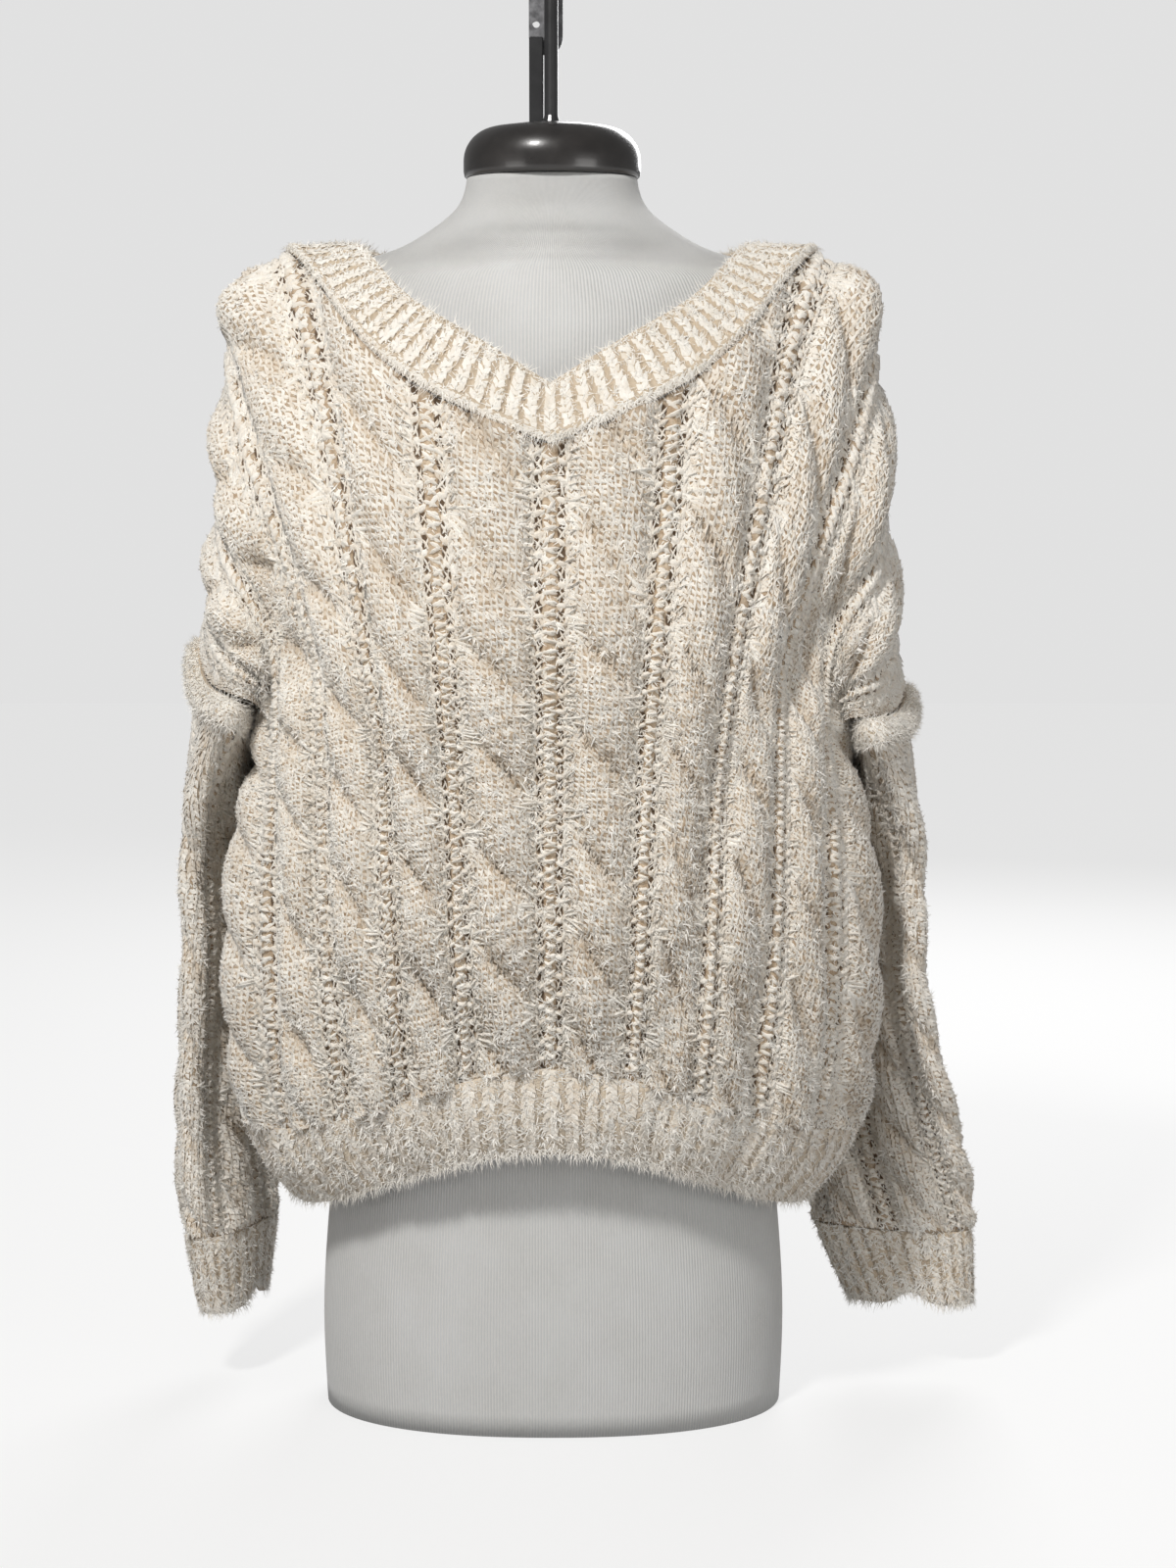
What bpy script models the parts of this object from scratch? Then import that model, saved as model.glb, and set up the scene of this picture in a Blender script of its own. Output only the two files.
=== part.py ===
"""A cropped v-neck sweater in chunky cable knit, worn by a limbless dress form.

Metres, +Z up, the front faces -Y. The origin is the centre of the form's flat base.
The panels are computed in the knit's own directions: s runs across the panel from the
centre front to the armhole or side seam, and the course height runs from the hem rib (0)
over the shoulder seam (1) to the hem rib of the back (2).
"""

import math

import bmesh
import bpy
import numpy as np

MM = 0.001
GAP = 0.0003  # between pieces at a seam
WALL = 0.003  # plain knit, before cables and ribs

# Panels, flat: half width to the armhole edge, length from the hem rib to the shoulder seam.
HALF_WIDTH = 0.445
LENGTH = 0.540
NECK_HALF = 0.164  # from the centre to the neck point, along the shoulder
V_FOOT = 0.754  # course height of the foot of the V
BACK_NECK = 0.885  # course height of the back neckline at its centre
UNDERARM = 16 / 28  # course height of the underarm

# Cable pattern: an eyelet ladder, then a rope cable, across each repeat.
REPEAT = 0.082
LADDER = 0.030
CROSSING = 0.068
CABLE_RISE = 0.0062
STRAND_RISE = 0.0028
CABLES_END = 0.418  # beyond it, a plain strip along the armhole and side seam
LADDER_RIB = 0.0008

HEM_RIB_RISE = 0.0026
HEM_FOOT = (0.165, 0.124, 0.112)  # half width, depth in front and behind, at the rib's foot
HEM_FOOT_Z = 0.137  # at the sides
HEM_ARCH = (0.052, 0.010)  # how much higher the foot is at the centre front and back
BAND_RIB_RISE = 0.0024
CUFF_RIB_RISE = 0.0020
WELT_LENGTH = 0.016
WELT_RISE = 0.0075
LIP = 0.06  # how far the rolled edge overhangs the sleeve, as a share of its length
UNDERARM_CLEAR = 0.0115  # how far outside the side seam the rolled edge starts
UNDERARM_LEAN = 0.34  # and how far it leans out, as a share of its length

COURSES = 28  # mesh rows in a panel
WALES = (0.0, 0.27, 0.5, 0.73)  # mesh columns in a repeat, as shares of it
SLEEVE_ROWS = 18

# The draped panels, as millimetres (x, y, z) on the viewer's right, a row for each course
# height and a column for each share of the half width.
DRAPE_SHARES = (0.0, 0.2, 0.4, 0.6, 0.8, 0.9, 1.0)
DRAPE = (
    # course, centre, bust, strap, arm top, arm middle, arm low, edge
    (
        0.00, (0, -136, 245), (54, -135, 236), (96, -129, 220), (137, -108, 205),
        (178, -68, 194), (195, -24, 190), (188, 26, 190),
    ),
    (
        0.15, (0, -149, 322), (58, -147, 314), (102, -139, 298), (145, -117, 280),
        (187, -75, 263), (202, -26, 254), (193, 26, 250),
    ),
    (
        0.35, (0, -147, 420), (62, -145, 416), (107, -136, 405), (147, -114, 388),
        (185, -75, 368), (198, -30, 356), (190, 22, 350),
    ),
    (
        UNDERARM, (0, -143, 520), (70, -139, 518), (119, -124, 506), (150, -101, 477),
        (173, -68, 446), (177, -32, 434), (179, 12, 428),
    ),
    (
        0.71, (0, -129, 597), (77, -122, 602), (137, -99, 596), (167, -84, 541),
        (179, -83, 494), (182, -81, 476), (184, -78, 462),
    ),
    (
        0.85, (0, -100, 676), (83, -90, 684), (157, -57, 676), (195, -52, 608),
        (203, -60, 530), (207, -56, 500), (213, -48, 474),
    ),
    (
        1.00, (0, 36, 757), (90, 18, 754), (178, 0, 731), (203, 5, 656),
        (208, 9, 572), (214, 11, 534), (225, 12, 497),
    ),
    (
        1.15, (0, 97, 678), (88, 92, 680), (160, 62, 668), (193, 62, 606),
        (202, 72, 530), (207, 69, 500), (215, 62, 474),
    ),
    (
        1.29, (0, 116, 597), (86, 112, 597), (149, 94, 590), (173, 94, 538),
        (184, 99, 494), (186, 97, 474), (187, 90, 461),
    ),
    (
        2 - UNDERARM, (0, 121, 516), (81, 117, 512), (135, 104, 498), (157, 90, 470),
        (172, 66, 444), (176, 40, 434), (179, 12, 428),
    ),
    (
        1.65, (0, 120, 412), (78, 116, 408), (127, 104, 397), (153, 87, 381),
        (172, 66, 363), (183, 45, 355), (190, 22, 350),
    ),
    (
        1.85, (0, 124, 306), (76, 120, 303), (125, 108, 293), (153, 91, 276),
        (174, 70, 260), (185, 50, 254), (193, 26, 250),
    ),
    (
        2.00, (0, 114, 222), (72, 110, 218), (120, 99, 208), (147, 84, 198),
        (168, 66, 192), (180, 48, 190), (188, 26, 190),
    ),
)
ARM_DROOP = {-1: 0.0, 1: 0.030}  # how much lower each armhole edge hangs: left, right
DROOP_SHARES = (0.0, 0.0, 0.0, 0.1, 0.5, 0.75, 1.0)
DROOP_REACH = 0.43  # in courses each side of the shoulder seam

# Largest folds: from and to as (share of the half width, course), negative on the left.
FOLDS = (
    # name, from, to, half width in shares, depth (+ is a ridge)
    ("left shoulder corner", (-0.475, 0.90), (-0.475, 1.10), 0.060, 0.007),
    ("right shoulder corner", (0.475, 0.90), (0.475, 1.10), 0.060, 0.007),
    ("left armpit trough", (-0.58, 0.52), (-0.70, 0.80), 0.060, -0.011),
    ("right armpit trough", (0.58, 0.50), (0.70, 0.80), 0.060, -0.011),
    ("left tuck trough", (-0.27, 0.00), (-0.30, 0.17), 0.045, -0.009),
    ("right tuck trough", (0.25, 0.00), (0.28, 0.20), 0.045, -0.009),
    ("left hollow", (-0.50, 0.00), (-0.46, 0.20), 0.055, -0.010),
    ("right hollow", (0.52, 0.00), (0.47, 0.22), 0.055, -0.010),
    ("left drape trough", (-0.36, 0.30), (-0.50, 0.62), 0.050, -0.006),
    ("right drape trough", (0.38, 0.28), (0.50, 0.62), 0.050, -0.006),
    ("back centre trough", (0.08, 1.98), (0.04, 1.62), 0.070, -0.009),
    ("back left trough", (-0.42, 1.98), (-0.36, 1.55), 0.060, -0.010),
    ("back right trough", (0.45, 1.98), (0.38, 1.50), 0.060, -0.010),
)

# Sleeves below the armhole: share of the length, centre (mm), half thickness, half width,
# and turn in degrees from side-on (the width along Y) towards face-on.
SLEEVES = {
    -1: (
        (0.16, (210, 34, 378), 11, 72, 14),
        (0.36, (213, 42, 308), 13, 68, 14),
        (0.57, (217, 45, 238), 14, 64, 14),
        (0.78, (220, 48, 170), 16, 57, 15),
        (1.00, (217, 50, 104), 18, 48, 20),
    ),
    1: (
        (0.16, (211, 34, 366), 11, 72, 14),
        (0.36, (213, 43, 298), 13, 69, 15),
        (0.57, (216, 50, 232), 15, 66, 24),
        (0.78, (221, 56, 164), 17, 57, 46),
        (1.00, (228, 54, 100), 17, 49, 78),
    ),
}
CUFF_ENDS = {
    -1: ((216, 50, 50), 13, 37, 16),
    1: ((241, 52, 48), 13, 38, 84),
}
SLEEVE_CREASE = {-1: (3, 0.0030), 1: (9, 0.0035)}  # column of the long crease, its depth

# Inner edge of the neckband from the centre front to the centre back, right side, mm.
BAND_EDGE = (
    (0.0, (0, -104, 657)),
    (0.16, (52, -92, 689)),
    (0.29, (88, -66, 712)),
    (0.42, (112, -30, 737)),
    (0.50, (120, 0, 744)),
    (0.60, (115, 34, 743)),
    (0.75, (78, 62, 737)),
    (1.0, (0, 78, 733)),
)

# Dress form: height, half width, depth in front, depth behind (mm).
FORM_SECTIONS = (
    (0, 149, 95, 97),
    (60, 151, 97, 99),
    (140, 146, 96, 96),
    (230, 138, 92, 92),
    (320, 129, 89, 86),
    (420, 141, 104, 93),
    (520, 156, 121, 101),
    (600, 166, 111, 101),
    (650, 175, 92, 92),
    (685, 182, 72, 80),
    (708, 180, 50, 62),
    (722, 170, 38, 50),
    (731, 154, 30, 44),
    (738, 121, 30, 46),
    (752, 84, 42, 50),
    (768, 62.5, 46, 50),
    (788, 54.5, 47, 49),
)
# How far the throat stands ahead of those sections at its centre: height, distance (mm).
FORM_THROAT = ((685, 0), (700, 6), (708, 11), (722, 17), (731, 21), (738, 19), (752, 5), (768, 0))
THROAT_WIDTH = 0.055
FORM_SIDES = 28
FORM_SQUARE = 2.25  # superellipse power

CAP_FOOT = 0.7885
CAP_HEIGHT = 0.035
CAP_HALF_WIDTH = 0.0560
CAP_HALF_DEPTH = 0.0510
ROD_RADIUS = 0.0044
ROD_TOP = 0.915
ROD_AT = -0.0005
STRAP_WIDTH = 0.0215
STRAP_FOOT = 0.8665
STRAP_AT = (-0.0040, 0.0105)
STRAP_THICK = 0.003
STRAP_HOLE = (-0.0060, 0.0190, 0.0022)  # across, up from the strap's foot, radius
CHANNEL_WIDTH = 0.009
CHANNEL_DEPTH = 0.0045
CHANNEL_AT = -0.0100


def unit(vectors):
    return vectors / np.linalg.norm(vectors, axis=-1, keepdims=True)


def spline_weights(knots, at):
    """Weights that turn values at the knots into a natural cubic spline's values at `at`."""
    knots = np.asarray(knots, float)
    at = np.asarray(at, float)
    count = len(knots)
    steps = np.diff(knots)
    bends = np.eye(count)
    slopes = np.zeros((count, count))
    for k in range(1, count - 1):
        bends[k, k - 1 : k + 2] = steps[k - 1], 2 * (steps[k - 1] + steps[k]), steps[k]
        slopes[k, k - 1 : k + 2] = 6 / steps[k - 1], -6 / steps[k - 1] - 6 / steps[k], 6 / steps[k]
    second = np.linalg.solve(bends, slopes)
    low = np.clip(np.searchsorted(knots, at) - 1, 0, count - 2)
    width = steps[low][:, None]
    after = (at[:, None] - knots[low][:, None]) / width
    before = 1 - after
    rows = np.eye(count)
    return (
        before * rows[low]
        + after * rows[low + 1]
        + (before**3 - before) * width**2 / 6 * second[low]
        + (after**3 - after) * width**2 / 6 * second[low + 1]
    )


def drape_net():
    """(courses, shares, points) of both halves: the left one mirrors the table."""
    courses = np.array([row[0] for row in DRAPE])
    right = np.array([row[1:] for row in DRAPE], float) * MM
    near_seam = np.clip(1 - np.abs(courses - 1) / DROOP_REACH, 0, 1)[:, None]
    halves = {}
    for side, droop in ARM_DROOP.items():
        half = right * np.array([side, 1, 1])
        half[:, :, 2] -= droop * near_seam * np.array(DROOP_SHARES)
        halves[side] = half
    shares = np.array(DRAPE_SHARES)
    net = np.concatenate([halves[-1][:, :0:-1], halves[1]], axis=1)
    return courses, np.concatenate([-shares[:0:-1], shares]), net


COURSE_KNOTS, SHARE_KNOTS, NET = drape_net()


def net_points(share, course):
    down = spline_weights(COURSE_KNOTS, course.ravel())
    across = spline_weights(SHARE_KNOTS, share.ravel())
    points = np.einsum("nc,cak,na->nk", down, NET, across)
    return points.reshape(*share.shape, 3)


def smooth_cloth(share, course):
    """The draped net, with front and back drawn together along the side seams."""
    edge = np.where(share < 0, -1.0, 1.0)
    near = np.clip((np.abs(share) - 0.75) / 0.25, 0, 1) ** 2
    below = (course < UNDERARM) | (course > 2 - UNDERARM)
    apart = net_points(edge, 2 - course) - net_points(edge, course)
    return net_points(share, course) + (0.5 * near * below)[..., None] * apart


def cloth_normals(share, course):
    """Outward unit normals, from small steps across and up the cloth."""
    step = 0.002
    across = smooth_cloth(share + step, course) - smooth_cloth(share - step, course)
    up = smooth_cloth(share, course + step) - smooth_cloth(share, course - step)
    return unit(np.cross(across, up))


def folds(share, course):
    """Height of the named folds: a bell across each line, faded at its ends."""
    height = np.zeros(share.shape)
    for _name, start, end, width, depth in FOLDS:
        run = (course - start[1]) / (end[1] - start[1])
        line = start[0] + (end[0] - start[0]) * np.clip(run, 0, 1)
        fade = np.clip(1.25 - np.abs(run - 0.5) * 2, 0, 1)
        height += depth * fade**2 * (3 - 2 * fade) * np.exp(-(((share - line) / width) ** 2))
    return height


def cable_relief(across, along):
    """Rise of the knit at a distance from the middle ladder and a height, in metres.

    Every cable's strands slant the same way, down to the viewer's right.
    """
    place = np.mod(np.abs(across), REPEAT) / REPEAT
    edge = LADDER / REPEAT / 2
    inside = np.clip((place - edge) / (1 - 2 * edge), 0, 1)
    hump = np.sin(math.pi * inside) ** 0.6
    slant = np.where(across > 0, -0.9, 0.9) * inside
    twist = np.cos(2 * math.pi * (slant - along / CROSSING))
    rib = LADDER_RIB * np.exp(-((np.minimum(place, 1 - place) / 0.05) ** 2))
    plain = np.abs(across) > CABLES_END
    return np.where(plain, 0.0, hump * (CABLE_RISE + STRAND_RISE * twist) + rib)


def wale_places():
    """Distances across the whole panel of the mesh columns, ladders and neck points on them."""
    half = [REPEAT * (k + part) for k in range(5) for part in WALES]
    edge = np.linspace(5 * REPEAT, HALF_WIDTH, 3)
    half = np.concatenate([half, edge])
    return np.concatenate([-half[:0:-1], half])


def top_course(across, back):
    """Course height of a panel's top edge: the neckline, then the shoulder seam."""
    part = np.clip(np.abs(across) / NECK_HALF, 0, 1)
    if back:
        return BACK_NECK + (1 - BACK_NECK) * part**3
    return V_FOOT + (1 - V_FOOT) * (0.35 * part + 0.65 * part**7)


def panel_grid(back):
    """(across, course from the panel's own hem, points, normals) as rows by columns."""
    across = np.tile(wale_places(), (COURSES + 1, 1))
    part = np.linspace(0, 1, COURSES + 1)[:, None]
    height = part * top_course(across, back)
    share = across / HALF_WIDTH
    course = 2 - height if back else height
    normals = cloth_normals(share, course)
    points = smooth_cloth(share, course) + normals * folds(share, course)[..., None]
    return across, height, points, normals


def seam_normals(front, back):
    """Both panels share their normals where they meet along the side seams."""
    rows = slice(0, round(UNDERARM * COURSES) + 1)
    for column in (0, -1):
        shared = unit(front[rows, column] + back[rows, column])
        front[rows, column] = shared
        back[rows, column] = shared


def square_to(line, normals, towards):
    """Unit vectors in the cloth, square to a line of points, on the side of `towards`."""
    sideways = unit(np.cross(normals, np.gradient(line, axis=0)))
    return sideways * np.sign((sideways * towards).sum(axis=1, keepdims=True))


def pulled_in(points, normals):
    """The grid with its four edges half a gap short of the seams."""
    moved = points.copy()
    for edge, inside in ((0, 1), (-1, -2)):
        rows, across = points[edge], points[:, edge]
        moved[edge] += GAP / 2 * square_to(rows, normals[edge], points[inside] - rows)
        inward = square_to(across, normals[:, edge], points[:, inside] - across)
        moved[:, edge] += GAP / 2 * inward
    return moved


def add_object(name, mesh, material):
    obj = bpy.data.objects.new(name, mesh)
    obj.data.materials.append(material)
    GARMENT.objects.link(obj)
    return obj


def wall(name, outer, inner, rows, columns, material, ring=False):
    """A closed wall: all points of the outer grid, and the listed rows and columns of the inner."""
    height, width = outer.shape[:2]
    around = width if ring else width - 1
    outside = np.arange(height * width).reshape(height, width)
    inside = outside + height * width
    faces = []
    for i in range(height - 1):
        for j in range(around):
            k = (j + 1) % width
            faces.append((outside[i, j], outside[i, k], outside[i + 1, k], outside[i + 1, j]))
    stops = list(columns) + [columns[0]] if ring else list(columns)
    for low, high in zip(rows, rows[1:]):
        for j, k in zip(stops, stops[1:]):
            faces.append((inside[low, j], inside[high, j], inside[high, k], inside[low, k]))
    for j, k in zip(stops, stops[1:]):
        last = k if k > j else k + width
        for row, turn in ((0, 1), (height - 1, -1)):
            chain = [outside[row, m % width] for m in range(j, last + 1)]
            faces.append((chain[::-1] + [inside[row, j], inside[row, k]])[::turn])
    if not ring:
        for low, high in zip(rows, rows[1:]):
            for column, turn in ((0, 1), (width - 1, -1)):
                chain = [outside[m, column] for m in range(low, high + 1)]
                faces.append((chain + [inside[high, column], inside[low, column]])[::turn])
    mesh = bpy.data.meshes.new(name)
    points = np.concatenate([outer.reshape(-1, 3), inner.reshape(-1, 3)])
    mesh.from_pydata(points.tolist(), [], [[int(n) for n in face] for face in faces])
    return closed_object(name, mesh, material)


def closed_object(name, mesh, material):
    """Drops unused points, and turns every face outwards."""
    shape = bmesh.new()
    shape.from_mesh(mesh)
    loose = [point for point in shape.verts if not point.link_faces]
    bmesh.ops.delete(shape, geom=loose, context="VERTS")
    bmesh.ops.recalc_face_normals(shape, faces=shape.faces)
    if shape.calc_volume(signed=True) < 0:
        bmesh.ops.reverse_faces(shape, faces=shape.faces)
    shape.to_mesh(mesh)
    shape.free()
    mesh.shade_smooth()
    mesh.set_sharp_from_angle(angle=math.radians(60))
    return add_object(name, mesh, material)


def material(name, colour, roughness, metallic=0.0):
    made = bpy.data.materials.new(name)
    made.use_nodes = True
    finish = made.node_tree.nodes["Principled BSDF"]
    finish.inputs["Base Color"].default_value = (*colour, 1)
    finish.inputs["Roughness"].default_value = roughness
    finish.inputs["Metallic"].default_value = metallic
    return made


def make_panel(name, grid, finish):
    across, height, points, normals = grid
    base = pulled_in(points, normals)
    rise = WALL + cable_relief(across, height * LENGTH)
    # The inner face needs every row near the shoulder, and every other one below.
    turn = round(0.7 * COURSES / 2) * 2
    rows = list(range(0, turn, 2)) + list(range(turn, COURSES + 1))
    return wall(name, base + normals * rise[..., None], base, rows, range(across.shape[1]), finish)


def closed_ring(front, back):
    """Front samples from one end to the other, then the back ones returning, no point twice."""
    return np.concatenate([front, back[-2:0:-1]])


def between(ring, parts):
    """The ring with `parts` straight steps for each of its own."""
    share = np.arange(parts)[:, None] / parts
    following = np.roll(ring, -1, axis=0)
    steps = ring[:, None] * (1 - share) + following[:, None] * share
    return steps.reshape(-1, 3)


def rib_wave(count):
    """1 on each rib and 0 between, at alternate samples."""
    return (np.arange(count) % 2 == 0).astype(float)


def hem_ring(front, back):
    _, _, front_points, front_normals = front
    _, _, back_points, back_normals = back
    points = closed_ring(front_points[0], back_points[0])
    normals = closed_ring(front_normals[0], back_normals[0])
    down = closed_ring(front_points[0] - front_points[1], back_points[0] - back_points[1])
    return points, normals, unit(down)


def make_hem_rib(front, back, finish):
    """The rib draws in below the panels: its foot follows the hips a few millimetres clear."""
    points, normals, down = hem_ring(front, back)
    top = between(points + GAP / 2 * down, 2)
    normals = unit(between(normals, 2))
    angle = np.arctan2(top[:, 1] * 1.35, top[:, 0])
    front_part = np.clip(-np.sin(angle), 0, 1)
    half, front_depth, back_depth = HEM_FOOT
    depth = np.where(top[:, 1] < 0, front_depth, back_depth)
    arch = HEM_ARCH[0] * front_part**3 + HEM_ARCH[1] * np.clip(np.sin(angle), 0, 1)
    across, ahead = half * np.cos(angle), depth * np.sin(angle)
    foot = np.stack([across, ahead, HEM_FOOT_Z + arch], axis=1)
    foot_normals = unit(np.stack([np.cos(angle), np.sin(angle) * 1.4, 0.1 + 0 * angle], axis=1))
    middle = 0.5 * (top + foot) + normals * 0.004
    base = np.stack([top, middle, foot])
    direction = np.stack([normals, unit(normals + foot_normals), foot_normals])
    rise = WALL + HEM_RIB_RISE * np.stack([rib_wave(len(top))] * 3)
    outer = base + direction * rise[..., None]
    return wall("hem_rib", outer, base, (0, 1, 2), range(0, len(top), 2), finish, ring=True)


def neck_ring(front, back):
    columns = np.abs(wale_places()) <= NECK_HALF + 1e-6
    rings = []
    for _, _, points, normals in (front, back):
        rings.append((points[-1][columns], normals[-1][columns]))
    (front_points, front_normals), (back_points, back_normals) = rings
    return closed_ring(front_points, back_points), closed_ring(front_normals, back_normals)


def band_edge(part):
    """Inner edge of the neckband, part 0 to 1 from the centre front round to the centre back."""
    knots = [row[0] for row in BAND_EDGE]
    points = np.array([row[1] for row in BAND_EDGE]) * MM
    return spline_weights(knots, part) @ points


def make_neckband(front, back, finish):
    """Ruled from the neckline to its inner edge, with a rolled seam and ribs across it."""
    ribs_per_cell = 5
    points, normals = neck_ring(front, back)
    seam = between(points, ribs_per_cell)
    normals = unit(between(normals, ribs_per_cell))
    # The part of the way round is even along each quarter: V, shoulder seam, centre back.
    count = len(seam)
    quarter = count // 4
    steps = np.linalg.norm(seam - np.roll(seam, -1, axis=0), axis=1)
    run = np.concatenate([[0], np.cumsum(steps)])
    part = np.interp(run[:-1], run[::quarter], (0.5, 0, 0.5, 1, 0.5))
    side = np.sign(seam[:, :1])
    edge = band_edge(part) * np.hstack([side, side**2, side**2])
    start = seam + 3 * GAP * square_to(seam, normals, edge - seam)
    shares = np.array([0.0, 0.10, 0.24, 1.0])
    lift = np.array([0.0, 0.0012, 0.0015, 0.0])
    rise = np.array([0.0045, 0.0070, 0.0032, 0.0028])
    ribbed = np.array([0.0, 0.3, 1.0, 0.8])
    base = start + (edge - start) * shares[:, None, None] + normals * lift[:, None, None]
    height = rise[:, None] + BAND_RIB_RISE * ribbed[:, None] * rib_wave(count)
    outer = base + normals * height[..., None]
    columns = range(0, count, ribs_per_cell)
    return wall("neckband", outer, base, (0, 2, 3), columns, finish, ring=True)


def armhole_ring(side, front, back):
    """(points, outward normals, directions down the arm) from the underarm round the front."""
    column = -1 if side > 0 else 0
    rows = slice(round(UNDERARM * COURSES), None)
    points = closed_ring(front[2][rows, column], back[2][rows, column])
    # At the underarm the arm hangs just outside the body's side.
    count = len(points)
    inner = (0.5 + 0.5 * np.cos(np.arange(count) * 2 * math.pi / count)) ** 1.15
    outward = np.array([side, 0.0, 0.0])
    points = points + inner[:, None] * UNDERARM_CLEAR * outward
    lean = 0.12 + UNDERARM_LEAN * inner[:, None]
    down = unit(lean * outward + np.array([0.0, 0.0, -1.0]))
    around = np.roll(points, -1, axis=0) - np.roll(points, 1, axis=0)
    normals = unit(np.cross(down, around)) * side
    return points, normals, down, 1 - inner**2


def make_welt(side, name, ring, finish):
    """The rolled panel edge: a fat lip that overhangs the sleeve's top."""
    points, normals, down, fullness = ring
    profile = (
        # along the arm, outward
        (0.0, 0.0),
        (0.14, 0.55),
        (0.55, 1.0),
        (1.0, 0.8),
        (1 + LIP, 0.3),
        (1.0, 0.0),
    )
    rise = WELT_RISE * (0.12 + 0.88 * fullness)
    loops = []
    for along, out in profile:
        lift = (WALL + rise * out)[:, None]
        reach = np.minimum(along, 1 + LIP * fullness**3)[:, None] * WELT_LENGTH
        loops.append(points + down * (2 * GAP + reach) + normals * lift)
    for along in (1.0, 0.0):
        loops.append(points + down * (2 * GAP + WELT_LENGTH * along))
    count = len(points)
    faces = []
    for i in range(len(loops)):
        following = (i + 1) % len(loops)
        for j in range(count):
            k = (j + 1) % count
            faces.append(
                (i * count + j, i * count + k, following * count + k, following * count + j)
            )
    mesh = bpy.data.meshes.new(name)
    mesh.from_pydata(np.concatenate(loops).tolist(), [], faces)
    return closed_object(name, mesh, finish)


def flat_ring(side, centre, thick, width, turn, count):
    """A flattened section seen from above, from the inner side round by the front."""
    angle = math.pi + np.arange(count) * 2 * math.pi / count
    tilt = math.radians(turn)
    x = thick * np.cos(angle) * math.cos(tilt) - width * np.sin(angle) * math.sin(tilt)
    y = thick * np.cos(angle) * math.sin(tilt) + width * np.sin(angle) * math.cos(tilt)
    ring = np.stack([centre[0] + x, centre[1] + y, centre[2] + 0 * x], axis=1) * MM
    return ring * np.array([side, 1, 1])


def tube_normals(rings, side):
    around = np.roll(rings, -1, axis=1) - np.roll(rings, 1, axis=1)
    along = np.gradient(rings, axis=0)
    return unit(np.cross(along, around)) * side


def make_sleeve(side, name, ring, finish):
    points, top_normals, down, _ = ring
    count = len(points)
    top = points + down * (WELT_LENGTH + 5 * GAP)
    knots = [0.0] + [row[0] for row in SLEEVES[side]]
    sections = [top] + [flat_ring(side, *row[1:], count) for row in SLEEVES[side]]
    part = np.linspace(0, 1, SLEEVE_ROWS + 1)
    weights = spline_weights(knots, part)
    rings = np.einsum("rs,sck->rck", weights, np.array(sections))
    normals = tube_normals(rings, side)
    normals[0] = top_normals
    column, depth = SLEEVE_CREASE[side]
    from_crease = np.abs((np.arange(count) - column + count / 2) % count - count / 2)
    rings = rings - normals * (
        depth * np.exp(-((from_crease / 1.2) ** 2)) * np.sin(math.pi * part[:, None]) ** 0.5
    )[..., None]
    across = -side * np.arange(count) * REPEAT / 4
    relief = cable_relief(np.tile(across, (len(part), 1)), part[:, None] * 0.36)
    full = np.clip(part / 0.12, 0, 1) * np.clip((1 - part) / 0.05 + 0.4, 0, 1)
    rise = WALL + 0.75 * relief * full[:, None]
    rise[0] = WALL
    outer = rings + normals * rise[..., None]
    wall(name, outer, rings, range(0, SLEEVE_ROWS + 1, 3), range(count), finish, ring=True)
    return rings[-1], normals[-1]


def make_cuff(side, name, end, finish):
    """A ribbed cuff, pressed flat, with a shallow notch in the middle of its foot."""
    top, normals = end
    centre, thick, width, turn = CUFF_ENDS[side]
    foot = flat_ring(side, centre, thick, width, turn, len(top))
    notch = 0.009 * np.exp(-(((np.arange(len(top)) % (len(top) / 2)) / 1.1) ** 2))
    foot[:, 2] += notch
    top = between(top - np.array([0, 0, 2 * GAP]), 2)
    foot = between(foot, 2)
    normals = unit(between(normals, 2))
    base = np.stack([top, 0.45 * top + 0.55 * foot, foot])
    rise = WALL - 0.0005 + CUFF_RIB_RISE * np.stack([rib_wave(len(top))] * 3)
    outer = base + normals * rise[..., None]
    wall(name, outer, base, (0, 1, 2), range(0, len(top), 2), finish, ring=True)


def make_form(finish):
    """Superellipse sections, splined in height, with a flat base and a flat neck top."""
    table = np.array(FORM_SECTIONS, float)
    heights = table[:, 0]
    angle = np.arange(FORM_SIDES) * 2 * math.pi / FORM_SIDES
    cosine, sine = np.cos(angle), np.sin(angle)
    power = 2 / FORM_SQUARE
    across = np.sign(cosine) * np.abs(cosine) ** power
    ahead = np.sign(sine) * np.abs(sine) ** power
    levels = np.concatenate([np.arange(0, 640, 80), heights[heights >= 650]])
    sizes = spline_weights(heights, levels) @ table[:, 1:]
    throat = np.interp(levels, *zip(*FORM_THROAT))
    rings = []
    for level, (half, front, back), full in zip(levels, sizes, throat):
        x = half * across
        bulge = full * np.exp(-((x * MM / THROAT_WIDTH) ** 2)) * np.clip(-ahead, 0, 1)
        y = np.where(ahead < 0, front, back) * ahead - bulge
        rings.append(np.stack([x, y, level + 0 * across], axis=1) * MM)
    count = FORM_SIDES
    faces = [list(range(count)), list(range(len(rings) * count - count, len(rings) * count))]
    for i in range(len(rings) - 1):
        for j in range(count):
            k = (j + 1) % count
            faces.append([i * count + j, i * count + k, (i + 1) * count + k, (i + 1) * count + j])
    mesh = bpy.data.meshes.new("form_torso")
    mesh.from_pydata(np.concatenate(rings).tolist(), [], faces)
    return closed_object("form_torso", mesh, finish)


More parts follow.
